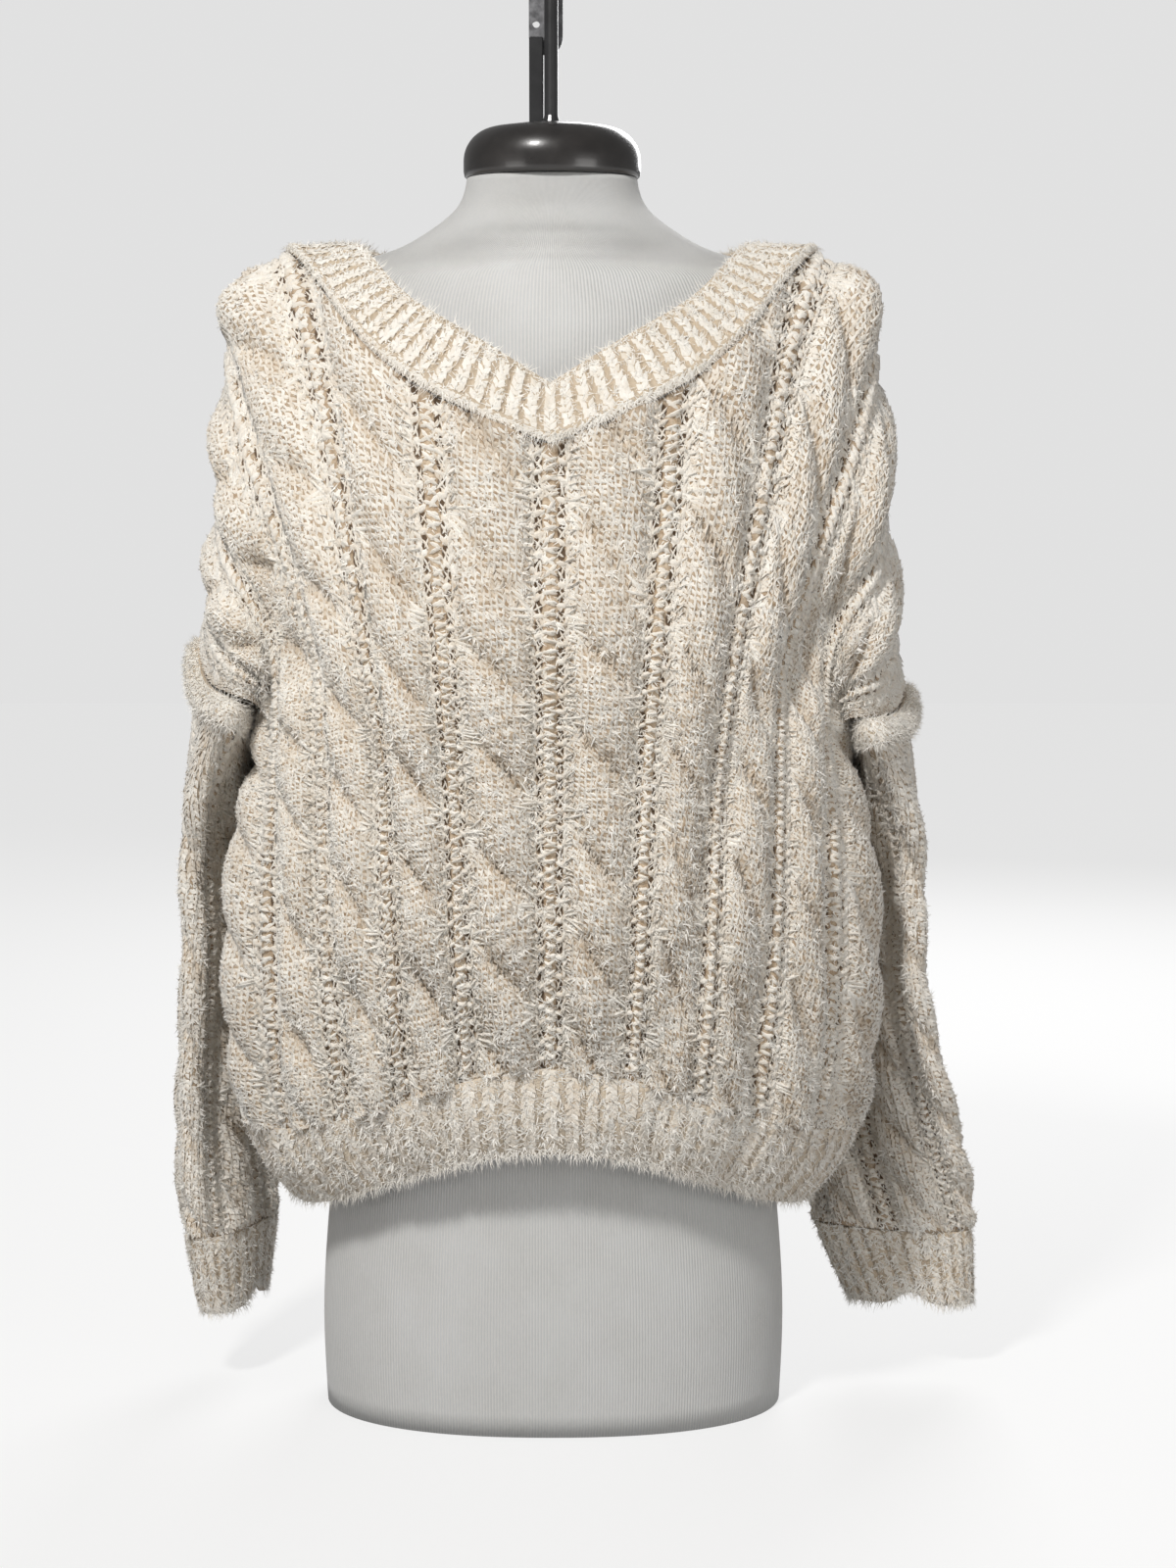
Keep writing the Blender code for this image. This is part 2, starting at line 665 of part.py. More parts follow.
def make_cap(finish):
    """A turned dome: straight foot, round shoulder, nearly flat crown, drawn in to an oval."""
    shoulder = 0.021
    crown = 0.0035
    side = CAP_HEIGHT - shoulder - crown
    profile = [(0.0, CAP_HEIGHT), (CAP_HALF_WIDTH - shoulder - 0.010, CAP_HEIGHT - 0.0012)]
    for step in range(6):
        turn = math.radians(90 - step * 18)
        out = CAP_HALF_WIDTH - shoulder + shoulder * math.cos(turn)
        profile.append((out, side + shoulder * math.sin(turn)))
    profile += [(CAP_HALF_WIDTH - 0.0012, 0.0), (0.0, 0.0)]
    mesh = bpy.data.meshes.new("neck_cap")
    points = [(x, 0, z) for x, z in profile]
    mesh.from_pydata(points, [(k, k + 1) for k in range(len(points) - 1)], [])
    obj = add_object("neck_cap", mesh, finish)
    turned = obj.modifiers.new("Turned", "SCREW")
    turned.steps = turned.render_steps = 24
    turned.use_merge_vertices = True
    turned.merge_threshold = 0.0001
    turned.use_smooth_shade = True
    obj.scale = (1, CAP_HALF_DEPTH / CAP_HALF_WIDTH, 1)
    obj.location = (0, 0, CAP_FOOT)


def make_rod(finish):
    """The tube on the cap: a turned profile with a flared foot and a rounded end."""
    foot = CAP_FOOT + CAP_HEIGHT + GAP
    profile = [(0.0, ROD_TOP), (ROD_RADIUS * 0.7, ROD_TOP), (ROD_RADIUS, ROD_TOP - 0.0015)]
    profile += [(ROD_RADIUS, foot + 0.004), (ROD_RADIUS + 0.0012, foot), (0.0, foot)]
    mesh = bpy.data.meshes.new("cap_rod")
    points = [(x, 0, z) for x, z in profile]
    mesh.from_pydata(points, [(k, k + 1) for k in range(len(points) - 1)], [])
    obj = add_object("cap_rod", mesh, finish)
    turned = obj.modifiers.new("Turned", "SCREW")
    turned.steps = turned.render_steps = 16
    turned.use_merge_vertices = True
    turned.merge_threshold = 0.0001
    obj.location = (ROD_AT, 0, 0)


def make_strap(finish):
    """A flat strap with a round lower end and one small hole, upright behind the tube."""
    half = STRAP_WIDTH / 2
    outline = bpy.data.curves.new("rod_strap", "CURVE")
    outline.dimensions = "2D"
    outline.fill_mode = "BOTH"
    outline.extrude = STRAP_THICK / 2
    turns = [math.radians(180 + 15 * k) for k in range(13)]
    edge = [(half * math.cos(t), half + half * math.sin(t)) for t in turns]
    edge += [(half, ROD_TOP - STRAP_FOOT), (-half, ROD_TOP - STRAP_FOOT)]
    across, up, radius = STRAP_HOLE
    turns = [math.radians(30 * k) for k in range(12)]
    hole = [(across + radius * math.cos(t), up + radius * math.sin(t)) for t in turns]
    for points in (edge, hole):
        spline = outline.splines.new("POLY")
        spline.points.add(len(points) - 1)
        for point, (x, y) in zip(spline.points, points):
            point.co = (x, y, 0, 1)
        spline.use_cyclic_u = True
    outline.materials.append(finish)
    obj = bpy.data.objects.new("rod_strap", outline)
    obj.rotation_euler = (math.pi / 2, 0, 0)
    obj.location = (STRAP_AT[0], STRAP_AT[1], STRAP_FOOT)
    GARMENT.objects.link(obj)


def make_channel(finish):
    """The small upright box section between the cap and the strap, left of the tube."""
    foot = CAP_FOOT + CAP_HEIGHT + GAP
    height = STRAP_FOOT + STRAP_WIDTH / 2 - foot
    shape = bmesh.new()
    bmesh.ops.create_cube(shape, size=1)
    bmesh.ops.scale(shape, vec=(CHANNEL_WIDTH, CHANNEL_DEPTH, height), verts=shape.verts)
    bmesh.ops.bevel(shape, geom=shape.edges, offset=0.0008, segments=1, affect="EDGES")
    mesh = bpy.data.meshes.new("rod_channel")
    shape.to_mesh(mesh)
    shape.free()
    obj = add_object("rod_channel", mesh, finish)
    ahead = STRAP_AT[1] - STRAP_THICK / 2 - GAP - CHANNEL_DEPTH / 2
    obj.location = (CHANNEL_AT, ahead, foot + height / 2)


def clear_scene():
    for obj in list(bpy.data.objects):
        bpy.data.objects.remove(obj, do_unlink=True)


clear_scene()
GARMENT = bpy.data.collections.new("Sweater on dress form")
bpy.context.scene.collection.children.link(GARMENT)

cream = material("Cream chenille knit", (0.74, 0.67, 0.57), 0.95)
ribbing = material("Cream ribbing", (0.78, 0.71, 0.61), 0.95)
linen = material("Pale linen", (0.66, 0.67, 0.66), 0.9)
black = material("Black gloss plastic", (0.025, 0.023, 0.022), 0.22)
enamel = material("Black enamelled tube", (0.02, 0.02, 0.02), 0.3)
steel = material("Dark steel", (0.16, 0.16, 0.17), 0.4, 1.0)

front_grid = panel_grid(back=False)
back_grid = panel_grid(back=True)
seam_normals(front_grid[3], back_grid[3])
make_panel("front_panel", front_grid, cream)
make_panel("back_panel", back_grid, cream)
make_hem_rib(front_grid, back_grid, ribbing)
make_neckband(front_grid, back_grid, ribbing)
for side, side_name in ((-1, "left"), (1, "right")):
    ring = armhole_ring(side, front_grid, back_grid)
    make_welt(side, "armhole_welt_" + side_name, ring, ribbing)
    sleeve_end = make_sleeve(side, "sleeve_" + side_name, ring, cream)
    make_cuff(side, "cuff_" + side_name, sleeve_end, ribbing)
make_form(linen)
make_cap(black)
make_rod(enamel)
make_strap(steel)
make_channel(enamel)
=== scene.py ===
import math

import bpy
import numpy as np
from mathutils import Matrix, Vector


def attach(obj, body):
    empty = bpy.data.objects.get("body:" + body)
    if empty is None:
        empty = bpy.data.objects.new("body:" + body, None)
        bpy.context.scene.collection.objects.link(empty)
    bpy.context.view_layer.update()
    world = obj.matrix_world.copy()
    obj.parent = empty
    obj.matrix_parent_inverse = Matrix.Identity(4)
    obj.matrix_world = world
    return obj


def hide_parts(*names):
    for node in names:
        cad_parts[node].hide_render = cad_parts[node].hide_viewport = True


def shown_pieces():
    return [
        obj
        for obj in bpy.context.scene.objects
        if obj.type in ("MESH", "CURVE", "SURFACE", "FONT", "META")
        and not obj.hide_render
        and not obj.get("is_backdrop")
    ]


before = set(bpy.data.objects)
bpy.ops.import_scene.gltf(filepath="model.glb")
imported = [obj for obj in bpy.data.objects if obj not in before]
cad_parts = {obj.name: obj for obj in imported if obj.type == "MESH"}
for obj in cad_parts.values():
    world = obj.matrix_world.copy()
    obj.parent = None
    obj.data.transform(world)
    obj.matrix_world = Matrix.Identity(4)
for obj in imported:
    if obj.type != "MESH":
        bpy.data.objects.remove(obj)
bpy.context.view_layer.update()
mm = 0.001
chance = np.random.default_rng(20)  # one seeded source, so each run is the same

# Camera, floor and light.
studio = {
    "eye": (0.0227, -1.90, 0.60),
    "aim": (0.0227, 0.0, 0.4034),
    "lens": 67.86,
    "farthest": 30,
    "floor": (0.22, 0.22, 0.218),
    "floorHalf": 6,
    "floorGlow": 0.69,
    "world": (0.755, 0.235),  # as seen, and as light
    "lampAim": (0, 0, 0.45),
    # name: (place, size, power, colour)
    "lamps": {
        "topFront": ((-0.85, -1.95, 2.45), 0.35, 58, (1.0, 0.985, 0.965)),
        "left": ((-1.5, -1.5, 0.35), 0.9, 6.6, (1.0, 0.98, 0.95)),
        "right": ((1.4, -1.6, 0.40), 1.0, 11, (1.0, 0.98, 0.96)),
        "behind": ((0.6, 2.0, 1.5), 1.2, 30, (0.99, 0.99, 1.0)),
    },
}


# Turn a camera or lamp, whose view runs down its own -Z, towards a point.
def pointAt(obj, aim):
    obj.rotation_euler = (Vector(aim) - obj.location).to_track_quat("-Z", "Y").to_euler()


# The photograph's camera, four soft lamps and a plain pale world.
def makeStudio():
    camera = bpy.data.objects.new("camera", bpy.data.cameras.new("camera"))
    camera.data.sensor_fit = "AUTO"
    camera.data.lens = studio["lens"]
    camera.data.clip_end = studio["farthest"]
    camera.location = studio["eye"]
    pointAt(camera, studio["aim"])
    bpy.context.scene.collection.objects.link(camera)
    bpy.context.scene.camera = camera
    for name, (place, size, power, colour) in studio["lamps"].items():
        lamp = bpy.data.objects.new(name, bpy.data.lights.new(name, "AREA"))
        lamp.data.size = size
        lamp.data.energy = power
        lamp.data.color = colour
        lamp.location = place
        pointAt(lamp, studio["lampAim"])
        bpy.context.scene.collection.objects.link(lamp)
    world = bpy.data.worlds.new("studio")
    world.use_nodes = True
    nodes, links = world.node_tree.nodes, world.node_tree.links
    sky = nodes["Background"]
    sky.inputs[0].default_value = (1, 1, 1, 1)
    rays, level = nodes.new("ShaderNodeLightPath"), nodes.new("ShaderNodeMapRange")
    links.new(rays.outputs["Is Camera Ray"], level.inputs[0])
    level.inputs[3].default_value, level.inputs[4].default_value = studio["world"][::-1]
    links.new(level.outputs[0], sky.inputs[1])
    bpy.context.scene.world = world
    bpy.context.scene.view_settings.view_transform = "Standard"
    print("studio made")


# A socket with operators, for shader maths.
class Wire:
    def __init__(self, finish, socket):
        self.finish, self.socket = finish, socket

    def maths(self, operation, *others):
        values = dict(enumerate((self, *others)))
        return self.finish.node("ShaderNodeMath", {"operation": operation}, values)

    def __add__(self, other):
        return self.maths("ADD", other)

    def __radd__(self, other):
        return self.maths("ADD", other)

    def __sub__(self, other):
        return self.maths("SUBTRACT", other)

    def __rsub__(self, other):
        return (self * -1).maths("ADD", other)

    def __mul__(self, other):
        return self.maths("MULTIPLY", other)

    def __rmul__(self, other):
        return self.maths("MULTIPLY", other)

    def __pow__(self, other):
        return self.maths("POWER", other)

    def sine(self):
        return self.maths("SINE")

    def size(self):
        return self.maths("ABSOLUTE")

    def between(self, low, high):
        # 0 below the first value, 1 above the second, a straight slope between
        values = {0: self, 1: low, 2: high}
        return self.finish.node("ShaderNodeMapRange", {"clamp": True}, values)


# A material: node() adds any node, surface() ends it in a Principled BSDF.
class Finish:
    def __init__(self, name):
        self.material = bpy.data.materials.new(name)
        self.material.use_nodes = True
        self.nodes = self.material.node_tree.nodes
        self.links = self.material.node_tree.links
        self.shader = self.nodes["Principled BSDF"]

    def set(self, node, place, value):
        if isinstance(value, Wire):
            self.links.new(value.socket, node.inputs[place])
        else:
            node.inputs[place].default_value = value

    def node(self, kind, settings=None, values=None, out=0):
        made = self.nodes.new(kind)
        for name, value in (settings or {}).items():
            setattr(made, name, value)
        for place, value in (values or {}).items():
            self.set(made, place, value)
        return Wire(self, made.outputs[out])

    def place(self):
        return self.node("ShaderNodeTexCoord", out="Object")

    def noise(self, scale, detail=2.0, roughness=0.5):
        values = {"Vector": self.place(), "Scale": scale, "Detail": detail}
        values["Roughness"] = roughness
        return self.node("ShaderNodeTexNoise", None, values)

    def attribute(self, name):
        return self.node("ShaderNodeAttribute", {"attribute_name": name}, out="Fac")

    def blend(self, share, first, second):
        values = {0: share, 6: (*first, 1) if isinstance(first, tuple) else first}
        values[7] = (*second, 1) if isinstance(second, tuple) else second
        return self.node("ShaderNodeMix", {"data_type": "RGBA"}, values, out=2)

    def bump(self, height, distance, strength=1.0):
        values = {"Height": height, "Distance": distance, "Strength": strength}
        return self.node("ShaderNodeBump", None, values, out="Normal")

    def surface(self, **values):
        for name, value in values.items():
            self.set(self.shader, name.replace("_", " "), value)
        return self.material


# The panels' cut, cables and draped net, the same as the solids'.
cut = {
    "halfWidth": 0.445,
    "length": 0.540,
    "neckHalf": 0.164,
    "vFoot": 0.754,
    "backNeck": 0.885,
    "underarm": 16 / 28,
    "wall": 0.003,
    "courses": 28,  # rows of the solids' mesh
}
cable = {
    "repeat": 0.082,
    "ladder": 0.030,
    "crossing": 0.068,
    "crest": 0.0102,
    "furrow": 0.0098,
    "slant": 0.9,  # turns across a rope
    "ripple": 0.0005,
    "end": 0.418,  # beyond it, a plain strip along the side
    "rib": 0.0008,
    "eyelets": 0.008,  # each side of a ladder's middle
    "eyeletPitch": 0.0120,
    "eyeletSize": (0.0026, 0.0038),  # half width and half height
    "stagger": 0.42,  # how far the right column is ahead, in pitches
}
drapeShares = (0.0, 0.2, 0.4, 0.6, 0.8, 0.9, 1.0)
drape = (
    # course, then centre, bust, strap, arm top, arm middle, arm low, edge, in mm
    (0.00, (0, -136, 245), (54, -135, 236), (96, -129, 220), (137, -108, 205),
     (178, -68, 194), (195, -24, 190), (188, 26, 190)),
    (0.15, (0, -149, 322), (58, -147, 314), (102, -139, 298), (145, -117, 280),
     (187, -75, 263), (202, -26, 254), (193, 26, 250)),
    (0.35, (0, -147, 420), (62, -145, 416), (107, -136, 405), (147, -114, 388),
     (185, -75, 368), (198, -30, 356), (190, 22, 350)),
    (16 / 28, (0, -143, 520), (70, -139, 518), (119, -124, 506), (150, -101, 477),
     (173, -68, 446), (177, -32, 434), (179, 12, 428)),
    (0.71, (0, -129, 597), (77, -122, 602), (137, -99, 596), (167, -84, 541),
     (179, -83, 494), (182, -81, 476), (184, -78, 462)),
    (0.85, (0, -100, 676), (83, -90, 684), (157, -57, 676), (195, -52, 608),
     (203, -60, 530), (207, -56, 500), (213, -48, 474)),
    (1.00, (0, 36, 757), (90, 18, 754), (178, 0, 731), (203, 5, 656),
     (208, 9, 572), (214, 11, 534), (225, 12, 497)),
    (1.15, (0, 97, 678), (88, 92, 680), (160, 62, 668), (193, 62, 606),
     (202, 72, 530), (207, 69, 500), (215, 62, 474)),
    (1.29, (0, 116, 597), (86, 112, 597), (149, 94, 590), (173, 94, 538),
     (184, 99, 494), (186, 97, 474), (187, 90, 461)),
    (2 - 16 / 28, (0, 121, 516), (81, 117, 512), (135, 104, 498), (157, 90, 470),
     (172, 66, 444), (176, 40, 434), (179, 12, 428)),
    (1.65, (0, 120, 412), (78, 116, 408), (127, 104, 397), (153, 87, 381),
     (172, 66, 363), (183, 45, 355), (190, 22, 350)),
    (1.85, (0, 124, 306), (76, 120, 303), (125, 108, 293), (153, 91, 276),
     (174, 70, 260), (185, 50, 254), (193, 26, 250)),
    (2.00, (0, 114, 222), (72, 110, 218), (120, 99, 208), (147, 84, 198),
     (168, 66, 192), (180, 48, 190), (188, 26, 190)),
)
armDroop = {-1: 0.0, 1: 0.030}  # how much lower each armhole edge hangs
droopShares = (0.0, 0.0, 0.0, 0.1, 0.5, 0.75, 1.0)
droopReach = 0.43  # in courses, each side of the shoulder seam
mainFolds = (
    # from and to as (share of the half width, course), half width, depth
    ((-0.475, 0.90), (-0.475, 1.10), 0.060, 0.007),
    ((0.475, 0.90), (0.475, 1.10), 0.060, 0.007),
    ((-0.58, 0.52), (-0.70, 0.80), 0.060, -0.011),
    ((0.58, 0.50), (0.70, 0.80), 0.060, -0.011),
    ((-0.27, 0.00), (-0.30, 0.17), 0.045, -0.009),
    ((0.25, 0.00), (0.28, 0.20), 0.045, -0.009),
    ((-0.50, 0.00), (-0.46, 0.20), 0.055, -0.010),
    ((0.52, 0.00), (0.47, 0.22), 0.055, -0.010),
    ((-0.36, 0.30), (-0.50, 0.62), 0.050, -0.006),
    ((0.38, 0.28), (0.50, 0.62), 0.050, -0.006),
    ((0.08, 1.98), (0.04, 1.62), 0.070, -0.009),
    ((-0.42, 1.98), (-0.36, 1.55), 0.060, -0.010),
    ((0.45, 1.98), (0.38, 1.50), 0.060, -0.010),
)
# Smaller creases that only show here: uneven in length, depth and spacing.
softCreases = (
    ((-0.14, 0.00), (-0.13, 0.10), 0.030, -0.0030),
    ((0.12, 0.00), (0.14, 0.12), 0.028, -0.0034),
    ((-0.40, 0.02), (-0.37, 0.16), 0.030, 0.0032),
    ((0.40, 0.02), (0.36, 0.18), 0.032, 0.0030),
    ((-0.64, 0.04), (-0.60, 0.30), 0.040, -0.0040),
    ((0.66, 0.03), (0.62, 0.26), 0.040, -0.0042),
    ((-0.53, 0.66), (-0.60, 0.92), 0.035, 0.0030),
    ((0.52, 0.62), (0.62, 0.90), 0.035, 0.0030),
    ((-0.80, 0.62), (-0.86, 0.86), 0.035, -0.0028),
    ((0.80, 0.60), (0.84, 0.82), 0.035, -0.0032),
    ((0.24, 1.98), (0.20, 1.74), 0.040, -0.0040),
    ((-0.20, 1.99), (-0.16, 1.70), 0.040, -0.0036),
    ((-0.66, 1.96), (-0.60, 1.60), 0.045, -0.0045),
    ((0.68, 1.94), (0.60, 1.58), 0.045, -0.0040),
    ((-0.60, 0.50), (-0.71, 0.80), 0.045, -0.0060),
    ((0.60, 0.48), (0.71, 0.80), 0.045, -0.0060),
    ((-0.33, 0.04), (-0.30, 0.36), 0.030, -0.0040),
    ((0.34, 0.05), (0.31, 0.40), 0.030, -0.0042),
    ((-0.72, 0.10), (-0.66, 0.44), 0.035, -0.0060),
    ((0.74, 0.12), (0.67, 0.42), 0.035, -0.0060),
    ((-0.55, 1.45), (-0.62, 1.15), 0.050, -0.0050),
    ((0.56, 1.42), (0.64, 1.12), 0.050, -0.0045),
)


# Vectors divided by their length.
def unit(vectors):
    return vectors / np.maximum(np.linalg.norm(vectors, axis=-1, keepdims=True), 1e-12)


# 1 in the middle and near 0 beyond two widths.
def bell(apart, width):
    return np.exp(-((apart / width) ** 2))


# Natural cubic spline: the weights that turn values at the knots into values at `at`.
def splineWeights(knots, at):
    knots, at = np.asarray(knots, float), np.asarray(at, float)
    count = len(knots)
    steps = np.diff(knots)
    bends, slopes = np.eye(count), np.zeros((count, count))
    for k in range(1, count - 1):
        bends[k, k - 1:k + 2] = steps[k - 1], 2 * (steps[k - 1] + steps[k]), steps[k]
        slopes[k, k - 1:k + 2] = 6 / steps[k - 1], -6 / steps[k - 1] - 6 / steps[k], 6 / steps[k]
    second = np.linalg.solve(bends, slopes)
    low = np.clip(np.searchsorted(knots, at) - 1, 0, count - 2)
    width = steps[low][:, None]
    after = (at[:, None] - knots[low][:, None]) / width
    before, rows = 1 - after, np.eye(count)
    curved = (before**3 - before) * second[low] + (after**3 - after) * second[low + 1]
    return before * rows[low] + after * rows[low + 1] + curved * width**2 / 6


# The table's courses, its shares of both halves, and the points: the left half mirrors the right.
def drapeNet():
    courses = np.array([row[0] for row in drape])
    right = np.array([row[1:] for row in drape], float) * mm
    nearSeam = np.clip(1 - np.abs(courses - 1) / droopReach, 0, 1)[:, None]
    halves = {}
    for side, droop in armDroop.items():
        half = right * np.array([side, 1, 1])
        half[:, :, 2] -= droop * nearSeam * np.array(droopShares)
        halves[side] = half
    shares = np.array(drapeShares)
    net = np.concatenate([halves[-1][:, :0:-1], halves[1]], axis=1)
    return courses, np.concatenate([-shares[:0:-1], shares]), net


courseKnots, shareKnots, net = drapeNet()


# The net read anywhere: splines up the cloth and across it.
def netPoints(share, course):
    down = splineWeights(courseKnots, course.ravel())
    across = splineWeights(shareKnots, share.ravel())
    mixed = (down @ net.reshape(len(courseKnots), -1)).reshape(-1, len(shareKnots), 3)
    return (mixed * across[..., None]).sum(axis=1).reshape(*share.shape, 3)


# The net, with front and back drawn together along the side seams below the underarm.
def smoothCloth(share, course):
    edge = np.where(share < 0, -1.0, 1.0)
    near = np.clip((np.abs(share) - 0.75) / 0.25, 0, 1) ** 2
    below = (course < cut["underarm"]) | (course > 2 - cut["underarm"])
    apart = netPoints(edge, 2 - course) - netPoints(edge, course)
    return netPoints(share, course) + (0.5 * near * below)[..., None] * apart


# Outward normals: the cross product of small steps across and up the cloth.
def clothNormals(share, course):
    step = 0.002
    across = smoothCloth(share + step, course) - smoothCloth(share - step, course)
    up = smoothCloth(share, course + step) - smoothCloth(share, course - step)
    return unit(np.cross(across, up))


# Each fold is a bell across its line, faded at its ends.
def foldHeight(share, course, folds):
    height = np.zeros(share.shape)
    for start, end, width, depth in folds:
        run = (course - start[1]) / (end[1] - start[1])
        line = start[0] + (end[0] - start[0]) * np.clip(run, 0, 1)
        fade = np.clip(1.25 - np.abs(run - 0.5) * 2, 0, 1)
        height += depth * fade**2 * (3 - 2 * fade) * bell(share - line, width)
    return height


# Where a point lies between two ladders: 0 and 1 at their edges.
def cablePlace(across):
    place = np.mod(np.abs(across), cable["repeat"]) / cable["repeat"]
    edge = cable["ladder"] / cable["repeat"] / 2
    return place, np.clip((place - edge) / (1 - 2 * edge), 0, 1)


# A slow unevenness, different in each cable: two sine waves up the cloth.
def wander(across, along, long=0.19, short=0.083):
    which = np.floor(np.abs(across) / cable["repeat"]) * np.where(across < 0, 2.3, 1.7)
    slow = np.sin(2 * math.pi * along / long + 2.1 * which)
    return 0.6 * slow + 0.4 * np.sin(2 * math.pi * along / short + 4.7 * which)


# Turns of the rope: its strands slant down to the right, and run upright near its edges.
def ropeTurns(across, along):
    inside = cablePlace(across)[1]
    bend = 0.5 + np.arcsin(0.9 * (2 * inside - 1)) / (2 * math.asin(0.9))
    slant = np.where(across > 0, -1, 1) * cable["slant"] * bend
    return slant - along / cable["crossing"] + 0.07 * wander(across, along)


# 1 on the crest of a strand and 0 in the furrow between two, round like a cord.
def strandHeight(across, along):
    offset = np.abs(np.mod(ropeTurns(across, along), 1.0) - 0.5) * 2
    return np.clip(1 - (1 - offset) ** 2, 0, 1) ** 0.75


# A hump between two ladders, grooved by the furrows of the rope.
def cableRelief(across, along):
    place, inside = cablePlace(across)
    hump = np.sin(math.pi * inside) ** 0.6
    groove = cable["furrow"] * (1 + 0.25 * wander(across, along, 0.13, 0.057))
    rope = cable["crest"] - groove * (1 - strandHeight(across, along))
    rope = rope + cable["ripple"] * np.sin(across * 610 + 3 * np.sin(along * 97))
    rope = rope + cable["ripple"] * np.sin(along * 540 + 2 * np.sin(across * 83))
    rib = cable["rib"] * bell(np.minimum(place, 1 - place), 0.05)
    return np.where(np.abs(across) > cable["end"], 0.0, hump * rope + rib)


# How far a point is from the middle of its eyelet, 1 at the rim, and from its ladder's middle.
def eyeletDistance(across, along):
    aside = np.mod(across + cable["repeat"] / 2, cable["repeat"]) - cable["repeat"] / 2
    step = along / cable["eyeletPitch"] + np.where(aside > 0, cable["stagger"], 0.0)
    level = np.mod(step + 0.5, 1.0) - 0.5
    side = (np.abs(aside) - cable["eyelets"]) / cable["eyeletSize"][0]
    up = level * cable["eyeletPitch"] / cable["eyeletSize"][1]
    return np.where(np.abs(across) < cable["end"], np.hypot(side, up), 9.0), np.abs(aside)


# Course height of a panel's top edge: the neckline, then the shoulder seam at 1.
def topCourse(across, back):
    part = np.clip(np.abs(across) / cut["neckHalf"], 0, 1)
    if back:
        return cut["backNeck"] + (1 - cut["backNeck"]) * part**3
    return cut["vFoot"] + (1 - cut["vFoot"]) * (0.35 * part + 0.65 * part**7)


# A surface as a grid of points and normals, read anywhere between its rows and columns.
class Cloth:
    # across and along: flat places of the grid points, in metres; lift: height over the base
    # rowOf and colOf: from flat places to grid rows and columns
    # ring: the last column joins the first
    def __init__(self, base, normals, lift, across, along, rowOf, colOf, ring=False):
        self.base, self.normals = base, normals
        self.points = base + normals * lift[..., None]
        self.across, self.along = across, along
        self.rowOf, self.colOf, self.ring = rowOf, colOf, ring
        aside = np.gradient(self.points, axis=1)
        upward = np.gradient(self.points, axis=0)
        facing = (np.cross(aside, upward) * normals).sum(axis=-1)
        self.flipped = float(np.median(facing)) < 0

    def at(self, across, along, lift):
        rows, columns = self.points.shape[:2]
        row = np.clip(self.rowOf(across, along), 0, rows - 1.0001)
        column = self.colOf(across)
        column = np.mod(column, columns) if self.ring else np.clip(column, 0, columns - 1.0001)
        r, c = row.astype(int), np.floor(column).astype(int) % columns
        fr, fc = (row - r)[..., None], (column - np.floor(column))[..., None]
        after = (c + 1) % columns
        spots = []
        for grid in (self.points, self.normals):
            low = grid[r, c] * (1 - fc) + grid[r, after] * fc
            high = grid[r + 1, c] * (1 - fc) + grid[r + 1, after] * fc
            spots.append(low * (1 - fr) + high * fr)
        normal = unit(spots[1])
        return spots[0] + normal * np.asarray(lift)[..., None], normal


# A mesh from points and blocks of faces, each block an array with one face a row.
def meshObject(name, points, faces, finish, facts=None, flipped=False):
    mesh = bpy.data.meshes.new(name)
    faces = [np.asarray(block, np.int32)[:, ::-1 if flipped else 1] for block in faces]
    corners = np.concatenate([block.ravel() for block in faces])
    sizes = np.concatenate([np.full(len(block), block.shape[1]) for block in faces])
    mesh.vertices.add(len(points))
    mesh.vertices.foreach_set("co", np.ascontiguousarray(points, np.float32).ravel())
    mesh.loops.add(len(corners))
    mesh.loops.foreach_set("vertex_index", corners)
    mesh.polygons.add(len(sizes))
    mesh.polygons.foreach_set("loop_start", np.concatenate([[0], np.cumsum(sizes)[:-1]]))
    mesh.update(calc_edges=True)
    for fact, values in (facts or {}).items():
        layer = mesh.attributes.new(fact, "FLOAT", "POINT")
        layer.data.foreach_set("value", np.ascontiguousarray(values, np.float32).ravel())
    mesh.shade_smooth()
    obj = bpy.data.objects.new(name, mesh)
    obj.data.materials.append(finish)
    bpy.context.scene.collection.objects.link(obj)
    return obj


# Quads between the rows and columns of an index grid; a ring also joins last to first.
def gridQuads(index, ring):
    after = np.roll(index, -1, axis=1) if ring else index[:, 1:]
    before = index if ring else index[:, :-1]
    return np.stack([before[:-1], after[:-1], after[1:], before[1:]], axis=-1).reshape(-1, 4)


# A strip of six-sided faces between a fine line of points and a line with every third of it.
def rimFaces(fine, coarse):
    parts = [fine[0:-1:3], fine[1::3], fine[2::3], fine[3::3], coarse[1:], coarse[:-1]]
    return np.stack(parts, axis=-1)


# A piece that is seen in place of a node's solid.
def standFor(piece, node):
    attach(piece, "root")
    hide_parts(node)
    return piece


